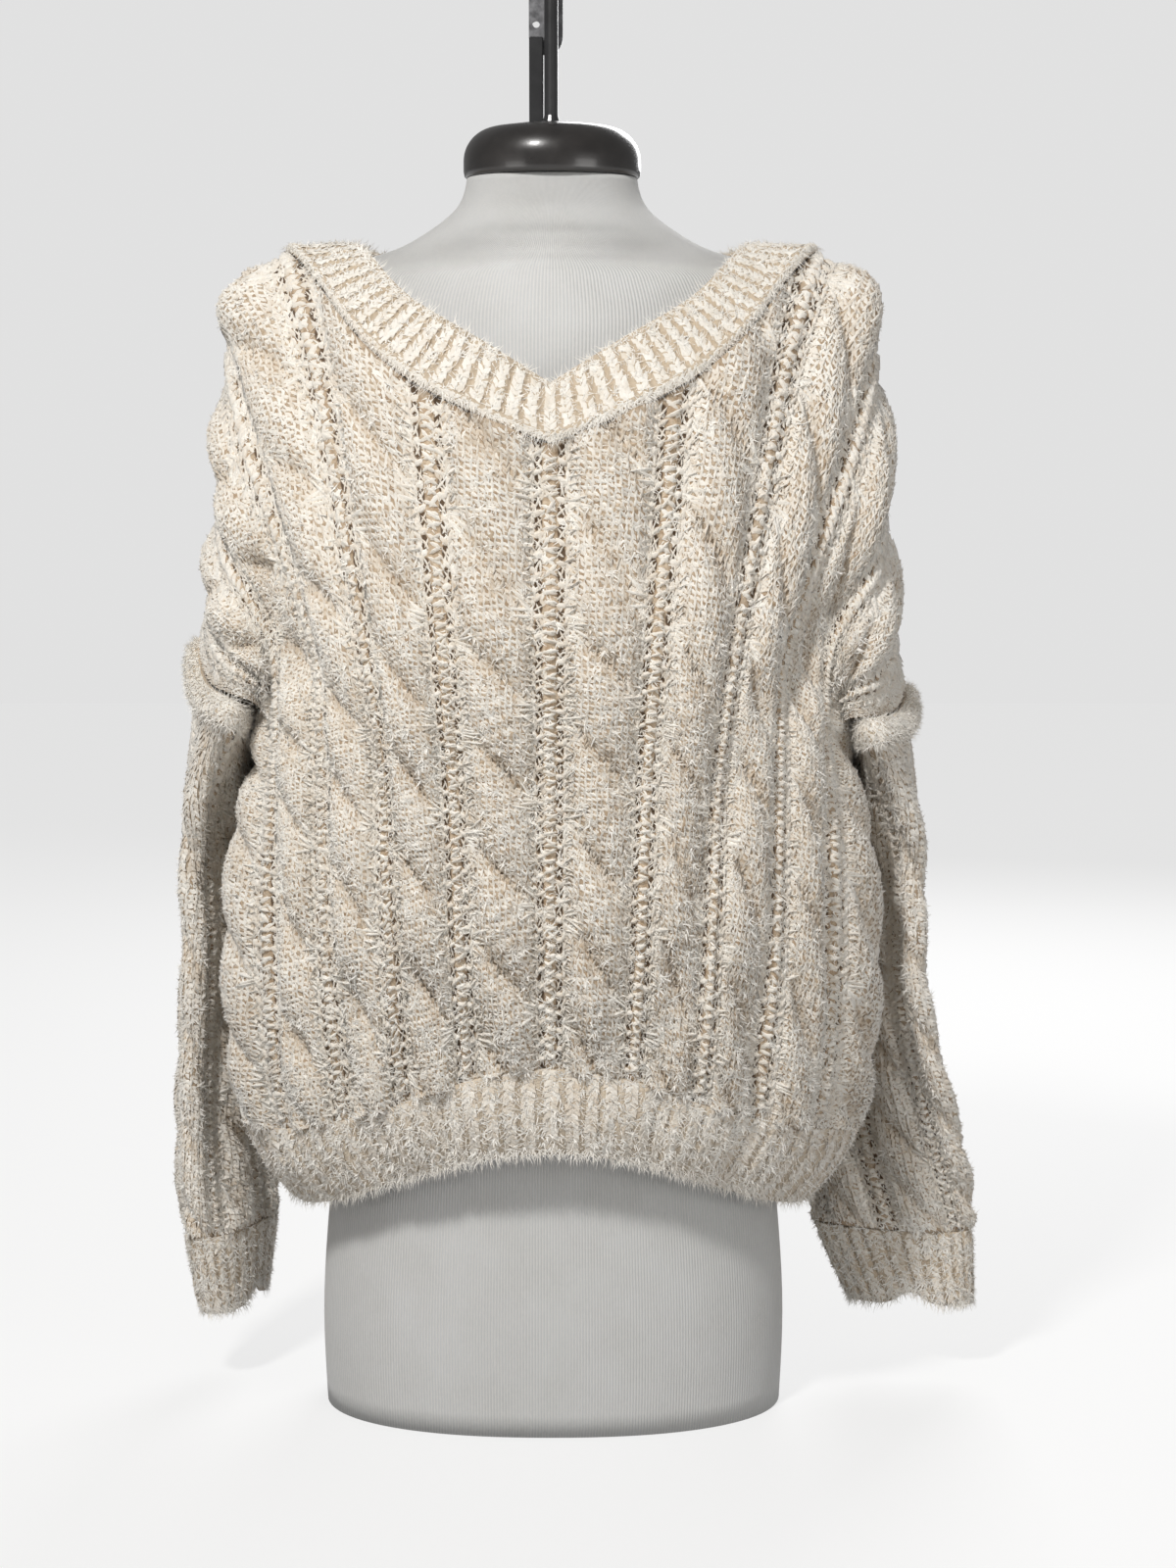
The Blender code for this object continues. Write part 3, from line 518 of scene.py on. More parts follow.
# A closed shell: the outer grid, an inner grid with a third of its rows and columns, and rims.
def clothShell(node, cloth, finish):
    rows, columns = cloth.points.shape[:2]
    outer = np.arange(rows * columns).reshape(rows, columns)
    inside = cloth.base[::3, ::3]
    inner = np.arange(inside.shape[0] * inside.shape[1]).reshape(inside.shape[:2]) + rows * columns
    faces = [gridQuads(outer, cloth.ring), gridQuads(inner, cloth.ring)[:, ::-1]]
    wrap = (lambda line: np.append(line, line[0])) if cloth.ring else (lambda line: line)
    faces.append(rimFaces(wrap(outer[0]), wrap(inner[0]))[:, ::-1])
    faces.append(rimFaces(wrap(outer[-1]), wrap(inner[-1])))
    if not cloth.ring:
        faces.append(rimFaces(outer[:, 0], inner[:, 0]))
        faces.append(rimFaces(outer[:, -1], inner[:, -1])[:, ::-1])
    points = np.concatenate([cloth.points.reshape(-1, 3), inside.reshape(-1, 3)])
    facts = {
        fact: np.concatenate([grid.ravel(), grid[::3, ::3].ravel()])
        for fact, grid in (("across", cloth.across), ("along", cloth.along))
    }
    # The shell's finish is painted shade, seen between the stitches.
    shell = meshObject(node + "_shade_ground", points, faces, finish, facts, cloth.flipped)
    return standFor(shell, node)


# Yarn is small shapes on a cloth. The corners of their faces:
leafFaces = ((0, 1, 2), (0, 2, 3))
loopFaces = (
    (0, 1, 2), (0, 2, 3), (1, 4, 5), (1, 5, 2), (2, 5, 6), (2, 6, 3), (4, 7, 5), (5, 7, 6),
)


# Points of one shape at every place, with a face table repeated for each.
def shapeArrays(cloth, spots, lifts, faces, tone):
    flat, lifts = np.stack(spots, axis=1), np.stack(lifts, axis=1)
    points, _ = cloth.at(flat[..., 0], flat[..., 1], lifts)
    count = flat.shape[1]
    start = np.arange(len(flat))[:, None] * count
    block = np.concatenate([start + np.array(face) for face in faces])
    return points.reshape(-1, 3), block, np.repeat(tone, count)


# Half a width at right angles to the line from foot to head.
def sideways(foot, head, width):
    along = head - foot
    aside = np.stack([along[:, 1], -along[:, 0]], axis=1)
    return aside / np.linalg.norm(aside, axis=1, keepdims=True) * (width / 2)[:, None]


# A leaf: raised at its foot and head, with its two sides down on the cloth.
def leaves(cloth, foot, head, width, raised, tone):
    aside = sideways(foot, head, width)
    middle = (foot + head) / 2
    low = 0 * raised - 0.0002
    spots = [foot, middle + aside, head, middle - aside]
    return shapeArrays(cloth, spots, [0.4 * raised, low, raised, low], leafFaces, tone)


# A loop: a round back between two tips, eight faces.
def loops(cloth, foot, head, width, raised, tone):
    aside = sideways(foot, head, width)
    low = 0 * raised - 0.0002
    spots, lifts = [foot], [0.2 * raised]
    for share in (0.28, 0.72):
        middle = foot + share * (head - foot)
        spots += [middle + aside, middle, middle - aside]
        lifts += [low, raised, low]
    return shapeArrays(cloth, [*spots, head], [*lifts, 0.2 * raised], loopFaces, tone)


# Loose fibres: one narrow triangle each, that lies over the cloth and rises to its tip. kind
# is from and to of length, width and rise, then the middle and the width of the tones.
def fibres(cloth, across, along, kind, lean=None):
    count = len(across)
    length, width, rise = (chance.uniform(*ends, count)[:, None] for ends in kind[:3])
    tone = tones(*kind[3], count)
    spot, normal = cloth.at(across, along, np.full(count, 0.0003))
    side = unit(np.cross(normal, np.array([0.0, 0.0, 1.0])) + 1e-9)
    upward = np.cross(side, normal)
    angle = chance.uniform(0, 2 * math.pi, count)
    if lean is not None:
        angle = lean + chance.normal(0, 0.6, count)
    towards = side * np.cos(angle)[:, None] + upward * np.sin(angle)[:, None]
    aside = np.cross(normal, towards) * (width / 2)
    tip = spot + towards * length + normal * rise
    points = np.stack([spot - aside, spot + aside, tip], axis=1).reshape(-1, 3)
    return points, np.arange(count * 3).reshape(-1, 3), np.repeat(tone, 3)


# One object from several blocks of shapes on a cloth.
def yarnPiece(name, cloth, blocks, finish):
    sizes = np.cumsum([0] + [len(block[0]) for block in blocks])
    points = np.concatenate([block[0] for block in blocks])
    faces = np.concatenate([block[1] + first for block, first in zip(blocks, sizes)])
    tone = np.concatenate([block[2] for block in blocks])
    piece = meshObject(name, points, [faces], finish, {"tone": tone}, cloth.flipped)
    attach(piece, "root")
    return piece


# A tone for each shape, from a bell around the middle one.
def tones(middle, width, count):
    return np.clip(chance.normal(middle, width, count), 0, 1)


# A value times a share between low and high, for each shape.
def spread(value, low, high, count):
    return value * chance.uniform(low, high, count)


# Two legs in a V for each stitch; lean turns both with the strand they are on.
def stitchLegs(cloth, across, along, gauge, lean, bright):
    wale, course, wide, rise = gauge
    count = len(across)
    blocks = []
    for hand in (-1, 1):
        size = spread(course, 1.5, 2.0, count)
        angle = lean + hand * math.radians(31) + chance.normal(0, 0.16, count)
        middle = np.stack([across + hand * wale * 0.24, along], axis=1)
        middle += chance.normal(0, 0.00042, middle.shape)
        way = np.stack([np.sin(angle), np.cos(angle)], axis=1) * (size / 2)[:, None]
        width = spread(wide, 0.8, 1.2, count)
        raised = spread(rise, 0.6, 1.4, count)
        # The shift added to each tone carries the cables' painted light and shade.
        tone = np.clip(tones(0.66, 0.24, count) + bright, 0, 1)
        blocks.append(leaves(cloth, middle - way, middle + way, width, raised, tone))
    return blocks


# Middles of the stitches: wales by courses, which wander by a fraction of a stitch.
def knitPlaces(low, high, length, wale, course):
    wales = np.arange(low + wale / 2, high, wale)
    courses = np.arange(course * 0.45, length - course * 0.4, course)
    across, along = (grid.ravel() for grid in np.meshgrid(wales, courses))
    sway = 0.0006 * np.sin(along * 151 + 2 * np.sin(across * 37))
    dip = 0.0007 * np.sin(across * 133 + 2 * np.sin(along * 41))
    return across + sway + chance.normal(0, 0.0002, across.shape), along + dip


# Stitches of a cabled area: they lean with the strands, and eyelets and rungs are left open. Their
# tones carry painted light on the strands' crests and painted shade in the furrows.
def cabledStitches(cloth, half, length, top, gauge):
    across, along = knitPlaces(-half, half, length, gauge[0], gauge[1])
    distance, aside = eyeletDistance(across, along)
    keep = (along < top(across) - gauge[1] * 0.5) & (distance > 1.2)
    keep &= (aside > 0.0046) | (np.abs(across) > cable["end"])
    across, along = across[keep], along[keep]
    inside = cablePlace(across)[1]
    strand = np.where(np.abs(across) > cable["end"], 0, np.sin(math.pi * inside) ** 0.5)
    height = strandHeight(across, along)
    lean = -math.radians(36) * strand * (0.4 + 0.6 * height)
    # Painted light and shade: lighter on the strands' crests, darker in the furrows, plus a slow
    # random change of tone.
    bright = strand * (0.72 * height - 0.50) + 0.12 * wander(across, along, 0.11, 0.047)
    return stitchLegs(cloth, across, along, gauge, lean, bright)


# Half of each length, at its angle from the way across.
def halfWay(angle, length):
    return np.stack([np.cos(angle), np.sin(angle)], axis=1) * (length / 2)[:, None]


# Loops at a line of middles; size is their length, width, rise, tone and wobble.
def loopRow(cloth, across, along, tilt, size):
    length, width, rise, tone, wobble = size
    count = len(across)
    middle = np.stack([across, along], axis=1) + chance.normal(0, wobble, (count, 2))
    angle = tilt + chance.normal(0, 0.2, count)
    way = halfWay(angle, spread(length, 0.75, 1.2, count))
    width, raised = spread(width, 0.85, 1.2, count), spread(rise, 0.8, 1.2, count)
    return loops(cloth, middle - way, middle + way, width, raised, tones(tone, 0.13, count))


ladder = {
    # length, width, rise, tone, wobble
    "rung": (0.0108, 0.0026, 0.0030, 0.80, 0.0007),
    "bar": (0.0078, 0.0034, 0.0024, 0.70, 0.0004),
    "strand": (0.0084, 0.0015, 0.0014, 0.68, 0.0007),
    "edge": (0.0072, 0.0030, 0.0022, 0.70, 0.0004),
    "edgeAside": 0.0042,  # from the eyelets
    "drawn": (0.0092, 0.0016, 0.0026, 0.85, 0.0008),
    "drawnAside": 0.0075,
    "drawnPitch": 0.0037,
    "pinch": (0.0190, 0.0022, 0.0024, 0.97, 0.0008),
    "pinchAside": 0.0190,  # from the ladder's middle
    "pinchLayers": 5,
    "pinchPitch": 0.0030,
}


# Distances from the middle of the ladders that lie on a piece.
def ladderMiddles(half):
    last = math.floor(min(half, cable["end"]) / cable["repeat"])
    return np.arange(-last, last + 1) * cable["repeat"]


# Ladders: fat rungs between the eyelet columns, bars between eyelets, thin crossed strands.
def ladderLoops(cloth, half, length, top, stretch):
    pitch = cable["eyeletPitch"]
    blocks = []

    def places(aside, step, first):
        across, along = np.meshgrid(ladderMiddles(half) + aside, np.arange(first, length, step))
        across, along = across.ravel(), along.ravel()
        keep = (along > 0.003) & (along < top(across) - 0.004) & (np.abs(across) < half)
        return across[keep], along[keep]

    rung = (ladder["rung"][0] * stretch, *ladder["rung"][1:])
    across, along = places(0.0, pitch / 2, pitch / 4)
    for tilt in (0.34, -0.34):
        blocks.append(loopRow(cloth, across, along, tilt, rung))
    for side in (-1, 1):
        shift = pitch * (0.5 - (cable["stagger"] if side > 0 else 0.0))
        across, along = places(side * cable["eyelets"], pitch, shift)
        blocks.append(loopRow(cloth, across, along, -0.35 * side, ladder["bar"]))
        across, along = places(side * cable["eyelets"], pitch, shift - pitch / 2)
        for tilt in (0.95, -0.95):
            blocks.append(loopRow(cloth, across, along, tilt, ladder["strand"]))
        edge = side * (cable["eyelets"] + ladder["edgeAside"])
        across, along = places(edge, pitch / 2, pitch / 4)
        blocks.append(loopRow(cloth, across, along, 1.25 * side, ladder["edge"]))
        # Drawn yarns between the ladder and the rope, at every course.
        drawn = side * (cable["eyelets"] + ladder["drawnAside"])
        across, along = places(drawn, ladder["drawnPitch"], 0.002)
        count, (long, wide, high, shade, wobble) = len(across), ladder["drawn"]
        middle = np.stack([across, along], axis=1) + chance.normal(0, wobble, (count, 2))
        angle = 0.3 * side * np.sign(np.sin(along * 430)) + chance.normal(0, 0.25, count)
        way = halfWay(angle, spread(long, 0.7, 1.2, count))
        width, raised = spread(wide, 0.8, 1.2, count), spread(high, 0.7, 1.3, count)
        tone = tones(shade, 0.15, count)
        blocks.append(leaves(cloth, middle - way, middle + way, width, raised, tone))
    return blocks


# Long bright strands where the rope is drawn in at a ladder's edge, once for each crossing.
def pinchStrands(cloth, half, length, top):
    blocks = []
    for side in (-1, 1):
        for layer in range(ladder["pinchLayers"]):
            centres = ladderMiddles(half) + side * ladder["pinchAside"]
            steps = np.arange(-1, length / cable["crossing"] + 1)
            across, step = (grid.ravel() for grid in np.meshgrid(centres, steps))
            turns = ropeTurns(across, 0 * across)
            along = cable["crossing"] * (turns - 0.5 + step) + (layer - 2) * ladder["pinchPitch"]
            keep = (along > 0.006) & (along < top(across) - 0.008)
            keep &= np.abs(across) < half - 0.006
            across, along = across[keep], along[keep]
            across = across + side * chance.normal(0, 0.0016, len(across))
            tilt = -0.30 + 0.20 * (layer - 2) * side
            blocks.append(loopRow(cloth, across, along, tilt, ladder["pinch"]))
    return blocks


# Single fibres all over an area, a little denser at its foot.
def looseFibres(cloth, low, high, length, top, facts):
    across = chance.uniform(low, high, facts["fibres"])
    along = length * chance.uniform(0, 1, facts["fibres"]) ** 1.15
    keep = along < top(across)
    kind = (facts["size"], (0.0004, 0.0008), facts["loft"], (0.78, 0.2))
    return fibres(cloth, across[keep], along[keep], kind)


# Curly tufts: a few broader light fibres that start at one spot and turn every way.
def tufts(cloth, low, high, length, top, count, weight, cabled=True):
    across = np.repeat(chance.uniform(low, high, count), 4)
    along = np.repeat(length * chance.uniform(0, 1, count) ** weight, 4)
    across = across + chance.normal(0, 0.0011, across.shape)
    along = along + chance.normal(0, 0.0011, along.shape)
    keep = (along < top(across)) & (along > 0)
    if cabled:
        inside = cablePlace(across)[1]
        keep &= (strandHeight(across, along) > 0.45) | (inside <= 0) | (inside >= 1)
        keep &= eyeletDistance(across, along)[0] > 1.1
    kind = ((0.0030, 0.0058), (0.0008, 0.0014), (0.0006, 0.0026), (0.95, 0.12))
    return fibres(cloth, across[keep], along[keep], kind)


# Colours of the yarn, and of painted shade: light and mid are the yarn's own tones, and mid is
# also the dark end that the cables' painted furrow shade reaches; the third is painted shade
# between the stitches, the fourth the painted shadow in the eyelets.
yarn = {
    "light": (0.935, 0.90, 0.83),
    "mid": (0.66, 0.55, 0.42),
    "gapShade": (0.40, 0.29, 0.19),
    "hole": (0.13, 0.088, 0.056),
}


# 0 below the first value, 1 above the second, an S between.
def smooth(finish, wire, low, high):
    values = {0: wire, 1: low, 2: high}
    settings = {"clamp": True, "interpolation_type": "SMOOTHSTEP"}
    return finish.node("ShaderNodeMapRange", settings, values)


# Under the yarn, painted shade: tan in the gaps between stitches, and a dark painted shadow in the
# eyelets.
def groundFinish(name, holes, gapShade):
    made = Finish(name)
    # Painted shade all over the ground, in patches of a darker and a lighter tan.
    patch = made.noise(240.0, 3.0, 0.6)
    colour = made.blend(patch.between(0.35, 0.7), gapShade, yarn["mid"])
    if holes:
        across, along = made.attribute("across"), made.attribute("along")
        half = cable["repeat"] / 2
        aside = across.maths("WRAP", half, -half)
        ahead = aside.maths("GREATER_THAN", 0.0) * cable["stagger"]
        turn = along * (1 / cable["eyeletPitch"]) + ahead
        level = turn.maths("WRAP", 0.5, -0.5) * (cable["eyeletPitch"] / cable["eyeletSize"][1])
        side = (aside.size() - cable["eyelets"]) * (1 / cable["eyeletSize"][0])
        distance = (side * side + level * level) ** 0.5
        distance = distance + across.size().maths("GREATER_THAN", cable["end"]) * 9
        # Painted shadow inside each eyelet.
        colour = made.blend(smooth(made, distance, 0.95, 1.35), yarn["hole"], colour)
    nap = made.noise(520.0, 3.0, 0.6)
    return made.surface(
        Base_Color=colour, Roughness=0.95, Specular_IOR_Level=0.12, Sheen_Weight=0.2,
        Normal=made.bump(nap, 0.0012),
    )


# Heathered yarn: each stitch has a tone, which on the cables also carries painted light on the
# crests and painted shade in the furrows, and patches of a few stitches go lighter or darker.
def yarnFinish(name, light, mid):
    made = Finish(name)
    patch = made.noise(95.0, 2.0, 0.6)
    streak = made.noise(750.0, 2.0, 0.5)
    tone = made.attribute("tone") * 0.62 + patch.between(0.3, 0.7) * 0.28 + streak * 0.22
    colour = made.blend(tone.between(0.12, 0.92), mid, light)
    return made.surface(
        Base_Color=colour, Roughness=0.92, Specular_IOR_Level=0.15, Sheen_Weight=0.35,
        Sheen_Roughness=0.6, Normal=made.bump(streak, 0.0006),
    )


# The grounds are painted shade: tan between the stitches and in the rib valleys, lighter under the
# hem's ribs, with painted shadow in the cabled knit's eyelets.
knitGround = groundFinish("Cream chenille, painted shade between stitches", True, yarn["gapShade"])
ribGround = groundFinish("Cream ribbing, painted shade between ribs", False, (0.56, 0.46, 0.34))
hemGround = groundFinish("Cream hem ribbing, painted shade between ribs", False, (0.68, 0.59, 0.47))
knitYarn = yarnFinish("Cream chenille, stitches", yarn["light"], yarn["mid"])
ribYarn = yarnFinish("Cream ribbing, stitches", (0.93, 0.90, 0.835), (0.76, 0.68, 0.57))
fuzzYarn = yarnFinish("Cream chenille, loose fibres", (0.95, 0.925, 0.87), (0.82, 0.76, 0.67))

# Front and back.
panel = {
    "rows": 172,
    "columns": 301,
    "gauge": (0.0047, 0.0036, 0.0025, 0.0015),  # wale, course, leg width, leg rise
    "stretch": 1.0,  # of the ladders' rungs
    "inset": 0.0010,  # how much of the wall the yarn takes up
    "fibres": 24000,
    "size": (0.0025, 0.0052),  # of a loose fibre, from and to
    "loft": (0.0004, 0.0026),  # how high its tip stands
    "tufts": 5200,
    "tuftWeight": 1.6,  # above 1, more tufts at the foot
    "cutShare": 0.82,  # the cut narrows towards the hem, where the knit is drawn into the rib
}


# Points and normals of a panel at places across it and course heights from its own hem.
def panelGrid(across, height, back):
    share = across / cut["halfWidth"]
    course = 2 - height if back else height
    normals = clothNormals(share, course)
    bend = foldHeight(share, course, mainFolds) + foldHeight(share, course, softCreases)
    return smoothCloth(share, course) + normals * bend[..., None], normals


# The panel's fine grid: its wall, the cables' relief, and a dip round each eyelet.
def panelCloth(back):
    rows, columns, half = panel["rows"], panel["columns"], cut["halfWidth"]
    across = np.tile(np.linspace(-half, half, columns), (rows, 1))
    height = np.linspace(0, 1, rows)[:, None] * topCourse(across, back)
    base, normals = panelGrid(across, height, back)
    along = height * cut["length"]
    distance = eyeletDistance(across, along)[0]
    lift = cut["wall"] + cableRelief(across, along) - panel["inset"]
    lift = lift - 0.0015 * np.clip(1.6 - distance, 0, 1)
    return Cloth(
        base, normals, lift, across, along,
        lambda u, v: v / cut["length"] / topCourse(u, back) * (rows - 1),
        lambda u: (u + half) / (2 * half) * (columns - 1),
    )


# All that shows of a cloth piece: its shell, and an object for each layer of yarn.
def dressCloth(node, cloth, finish, slot, layers, flat, **more):
    shell = clothShell(node, cloth, finish)
    pieces = [
        yarnPiece(node + "_" + word, cloth, blocks, colour)
        for word, (blocks, colour) in layers.items()
    ]
    print(node, "made")


# A cabled piece, from minus half to plus half across.
def knitPiece(node, cloth, half, length, top, facts, flat, area):
    legs = cabledStitches(cloth, half, length, top, facts["gauge"])
    bars = ladderLoops(cloth, half, length, top, facts["stretch"])
    bars += pinchStrands(cloth, half, length, top)
    loose = [
        looseFibres(cloth, -half, half, length, top, facts),
        tufts(cloth, -half, half, length, top, facts["tufts"], facts["tuftWeight"]),
    ]
    layers = {"stitches": (legs, knitYarn), "ladders": (bars, knitYarn), "fuzz": (loose, fuzzYarn)}
    dressCloth(node, cloth, knitGround, "cream_knit", layers, flat, area=area)


# The cut of a panel is its rectangle up to the mean height of its neckline, less at the hem.
def makePanel(node, back):
    cloth = panelCloth(back)
    half, length = cut["halfWidth"], cut["length"]
    height = float(topCourse(cloth.across[0], back).mean())
    area = panel["cutShare"] * height * 2 * half * length
    top = lambda u: topCourse(u, back) * length
    knitPiece(node, cloth, half, length, top, panel, (2 * half, length), area)


# Columns of the solids' mesh: four to a cable, and two for the strip along the side.
waleShares = (0.0, 0.27, 0.5, 0.73)
cables = 5  # on each side of the middle
waleHalf = [cable["repeat"] * (k + share) for k in range(cables) for share in waleShares]
strip = np.linspace(cables * cable["repeat"], cut["halfWidth"], 3)
waleHalf = np.concatenate([waleHalf, strip])
walePlaces = np.concatenate([-waleHalf[:0:-1], waleHalf])


# Finer places between the solids' own columns, `parts` for each, ends included.
def finePlaces(places, parts):
    count = (len(places) - 1) * parts + 1
    return np.interp(np.arange(count) / parts, np.arange(len(places)), places)


# A front line and a back line with the same ends, joined into one ring.
def closedRing(front, back):
    return np.concatenate([front, back[-2:0:-1]])


# Round cords side by side: 1 along each rib's crest and 0 in the valleys.
def ribWave(count, samples, shift=0.0):
    phase = np.arange(count) / samples + shift
    return np.sqrt(np.abs(np.cos(math.pi * phase)))


# Rows by parts through three or more rings, with a natural cubic spline.
def splineRings(knots, rings, part):
    return np.einsum("rs,sck->rck", splineWeights(knots, part), np.array(rings))


# The same height all the way round, as a function of the place across.
def straight(length):
    return lambda u: length + 0 * u


# A tube of rings, with its flat places from 0 to its way round and from 0 to its length.
def ringCloth(base, normals, lift, around, length):
    rows, columns = base.shape[:2]
    across = np.tile(np.arange(columns) / columns * around, (rows, 1))
    along = np.tile(np.linspace(0, length, rows)[:, None], (1, columns))
    return Cloth(
        base, normals, lift, across, along,
        lambda u, v: v / length * (rows - 1), lambda u: u / around * columns, True,
    )


# Fibres that start in a strip round the ring and lean one way, or any way.
def lashes(cloth, around, low, high, count, lean):
    across, along = chance.uniform(0, around, count), chance.uniform(low, high, count)
    kind = ((0.004, 0.009), (0.0004, 0.0007), (0, 0.002), (0.75, 0.18))
    return fibres(cloth, across, along, kind, lean)


# One column of V stitches on each rib, loops along a rolled rim, and loose fibres all over.
def ribbedPiece(node, cloth, ribs, around, facts):
    pitch, length, course = around / ribs, facts["length"], facts["course"]
    across, along = knitPlaces(-pitch / 2, around - pitch / 2 - 1e-6, length, pitch, course)
    gauge = (pitch * 0.62, course, pitch * 0.40, facts["legRise"])
    legs = stitchLegs(cloth, across, along, gauge, 0, facts["bright"])
    spots = np.arange(0, around, facts.get("rimPitch", around))
    for place, tilt in facts.get("rimRows", ()):
        legs.append(loopRow(cloth, spots, place + 0 * spots, tilt, facts["rimLoop"]))
    loose = [
        looseFibres(cloth, 0, around, length, straight(length), facts),
        tufts(cloth, 0, around, length, straight(length), facts["tufts"], 1.0, False),
        lashes(cloth, around, length - 0.006, length, facts["lashes"], facts["lean"]),
    ]
    if "rimRows" in facts:
        loose.append(lashes(cloth, around, 0.0004, 0.0032, facts["rimLashes"], -math.pi / 2))
    layers = {"stitches": (legs, facts["yarn"]), "fuzz": (loose, fuzzYarn)}
    dressCloth(node, cloth, facts["ground"], "cream_ribbing", layers, facts["flat"])


# The ribbed hem.
hem = {
    "foot": (0.165, 0.124, 0.112),  # half width, depth in front and behind
    "footHeight": 0.137,
    "arch": (0.052, 0.010),
    "gap": 0.00015,  # from the panels
    "inset": 0.0006,
    "rise": 0.0025,
    "rows": 13,
    "parts": 12,  # samples for each of the solids' columns, which are the ribs
    "length": 0.072,
    "flat": (0.98, 0.072),
    "course": 0.0042,
    "legRise": 0.0016,
    "bright": -0.12,
    "fibres": 9000,
    "size": (0.004, 0.008),
    "loft": (0.0005, 0.0035),
    "tufts": 1700,
    "lashes": 3200,
    "lean": -math.pi / 2,
    "ground": hemGround,
    "yarn": knitYarn,
    # soft folds of the rib: place round it from the left seam (front 0 to 1), half width, depth
    "folds": ((0.36, 0.020, -0.0035), (0.43, 0.018, 0.0020), (0.63, 0.020, -0.0035),
              (0.56, 0.018, 0.0022), (0.25, 0.028, -0.0040), (0.76, 0.026, -0.0040),
              (0.13, 0.030, 0.0024), (0.88, 0.030, 0.0026), (1.25, 0.040, -0.0030),
              (1.48, 0.030, -0.0032), (1.72, 0.040, -0.0034)),
}


# From the panels' hems to a foot ring, an ellipse that arches up at the centre front.
def makeHem():
    parts = hem["parts"]
    across = finePlaces(walePlaces, parts)[None]
    edges = []
    for back in (False, True):
        line, normals = panelGrid(across, 0 * across, back)
        above, _ = panelGrid(across, 0 * across + topCourse(across, back) / cut["courses"], back)
        edges.append((line[0], normals[0], unit(line - above)[0]))
    top, normals, down = (closedRing(front, back) for front, back in zip(*edges))
    top = top + hem["gap"] * down
    angle = np.arctan2(top[:, 1] * 1.35, top[:, 0])
    cosine, sine = np.cos(angle), np.sin(angle)
    half, frontDepth, backDepth = hem["foot"]
    depth = np.where(top[:, 1] < 0, frontDepth, backDepth)
    arch = hem["arch"][0] * np.clip(-sine, 0, 1) ** 3 + hem["arch"][1] * np.clip(sine, 0, 1)
    foot = np.stack([half * cosine, depth * sine, hem["footHeight"] + arch], axis=1)
    footNormals = unit(np.stack([cosine, sine * 1.4, 0.1 + 0 * angle], axis=1))
    middle = 0.5 * (top + foot) + normals * 0.004
    part = np.linspace(0, 1, hem["rows"])
    base = splineRings((0.0, 0.5, 1.0), (top, middle, foot), part)
    directions = unit(splineRings(
        (0.0, 0.5, 1.0), (normals, unit(normals + footNormals), footNormals), part,
    ))
    place = np.arange(len(top)) * 2 / len(top)
    wave = ribWave(len(top), parts, 0.22 * np.sin(place * 23) + 0.15 * np.sin(place * 57))
    swell = 1 - 0.35 * (2 * part[:, None] - 1) ** 4
    lift = cut["wall"] - hem["inset"] + hem["rise"] * wave * swell
    around = float(np.linalg.norm(np.diff(top, axis=0), axis=1).sum())
    reach = np.sin(math.pi * np.clip(part * 0.8 + 0.05, 0, 1))[:, None]
    for centre, width, depth in hem["folds"]:
        apart = np.mod(place - centre + 1, 2) - 1
        base = base + directions * (reach * depth * bell(apart, width))[..., None]
    cloth = ringCloth(base, directions, lift, around, hem["length"])
    ribbedPiece("hem_rib", cloth, len(top) // parts, around, hem)


# The ribbed band of the neck.
neckband = {
    "edge": (
        # inner edge from the centre front to the centre back, right side, in mm
        (0.0, (0, -104, 657)), (0.16, (52, -92, 689)), (0.29, (88, -66, 712)),
        (0.42, (112, -30, 737)), (0.50, (120, 0, 744)), (0.60, (115, 34, 743)),
        (0.75, (78, 62, 737)), (1.0, (0, 78, 733)),
    ),
    # share of the width, lift of the base, rise of the face, how far the ribs show
    "profile": (
        (0.0, 0.0, 0.0040, 0.0), (0.035, 0.0004, 0.0066, 0.0), (0.08, 0.0009, 0.0076, 0.1),
        (0.125, 0.0013, 0.0070, 0.3), (0.17, 0.0014, 0.0046, 0.6), (0.24, 0.0015, 0.0030, 1.0),
        (0.40, 0.0012, 0.0030, 1.0), (0.58, 0.0008, 0.0029, 1.0), (0.76, 0.0005, 0.0028, 1.0),
        (0.90, 0.0002, 0.0027, 0.9), (0.965, 0.0001, 0.0022, 0.7), (0.99, 0.0, 0.0016, 0.5),
        (1.0, 0.0, 0.0010, 0.3),
    ),
    "start": 0.0009,  # how far inside the neckline it begins
    "rise": 0.0026,
    "parts": 39,  # samples for each of the solids' columns
    "ribs": 80,
    "length": 0.041,
    "flat": (0.86, 0.041),
    "course": 0.0040,
    "legRise": 0.0014,
    "bright": -0.02,
    "fibres": 5000,
    "size": (0.003, 0.006),
    "loft": (0.0003, 0.0020),
    "tufts": 350,
    "lashes": 1200,
    "lean": None,
    "ground": ribGround,
    "yarn": ribYarn,
    "rimRows": ((0.0028, 0.5), (0.0008, -0.3)),  # loops on the rolled seam: place, tilt
    "rimPitch": 0.0038,
    "rimLoop": (0.0062, 0.0030, 0.0010, 0.55, 0.0004),
    "rimLashes": 2600,
}


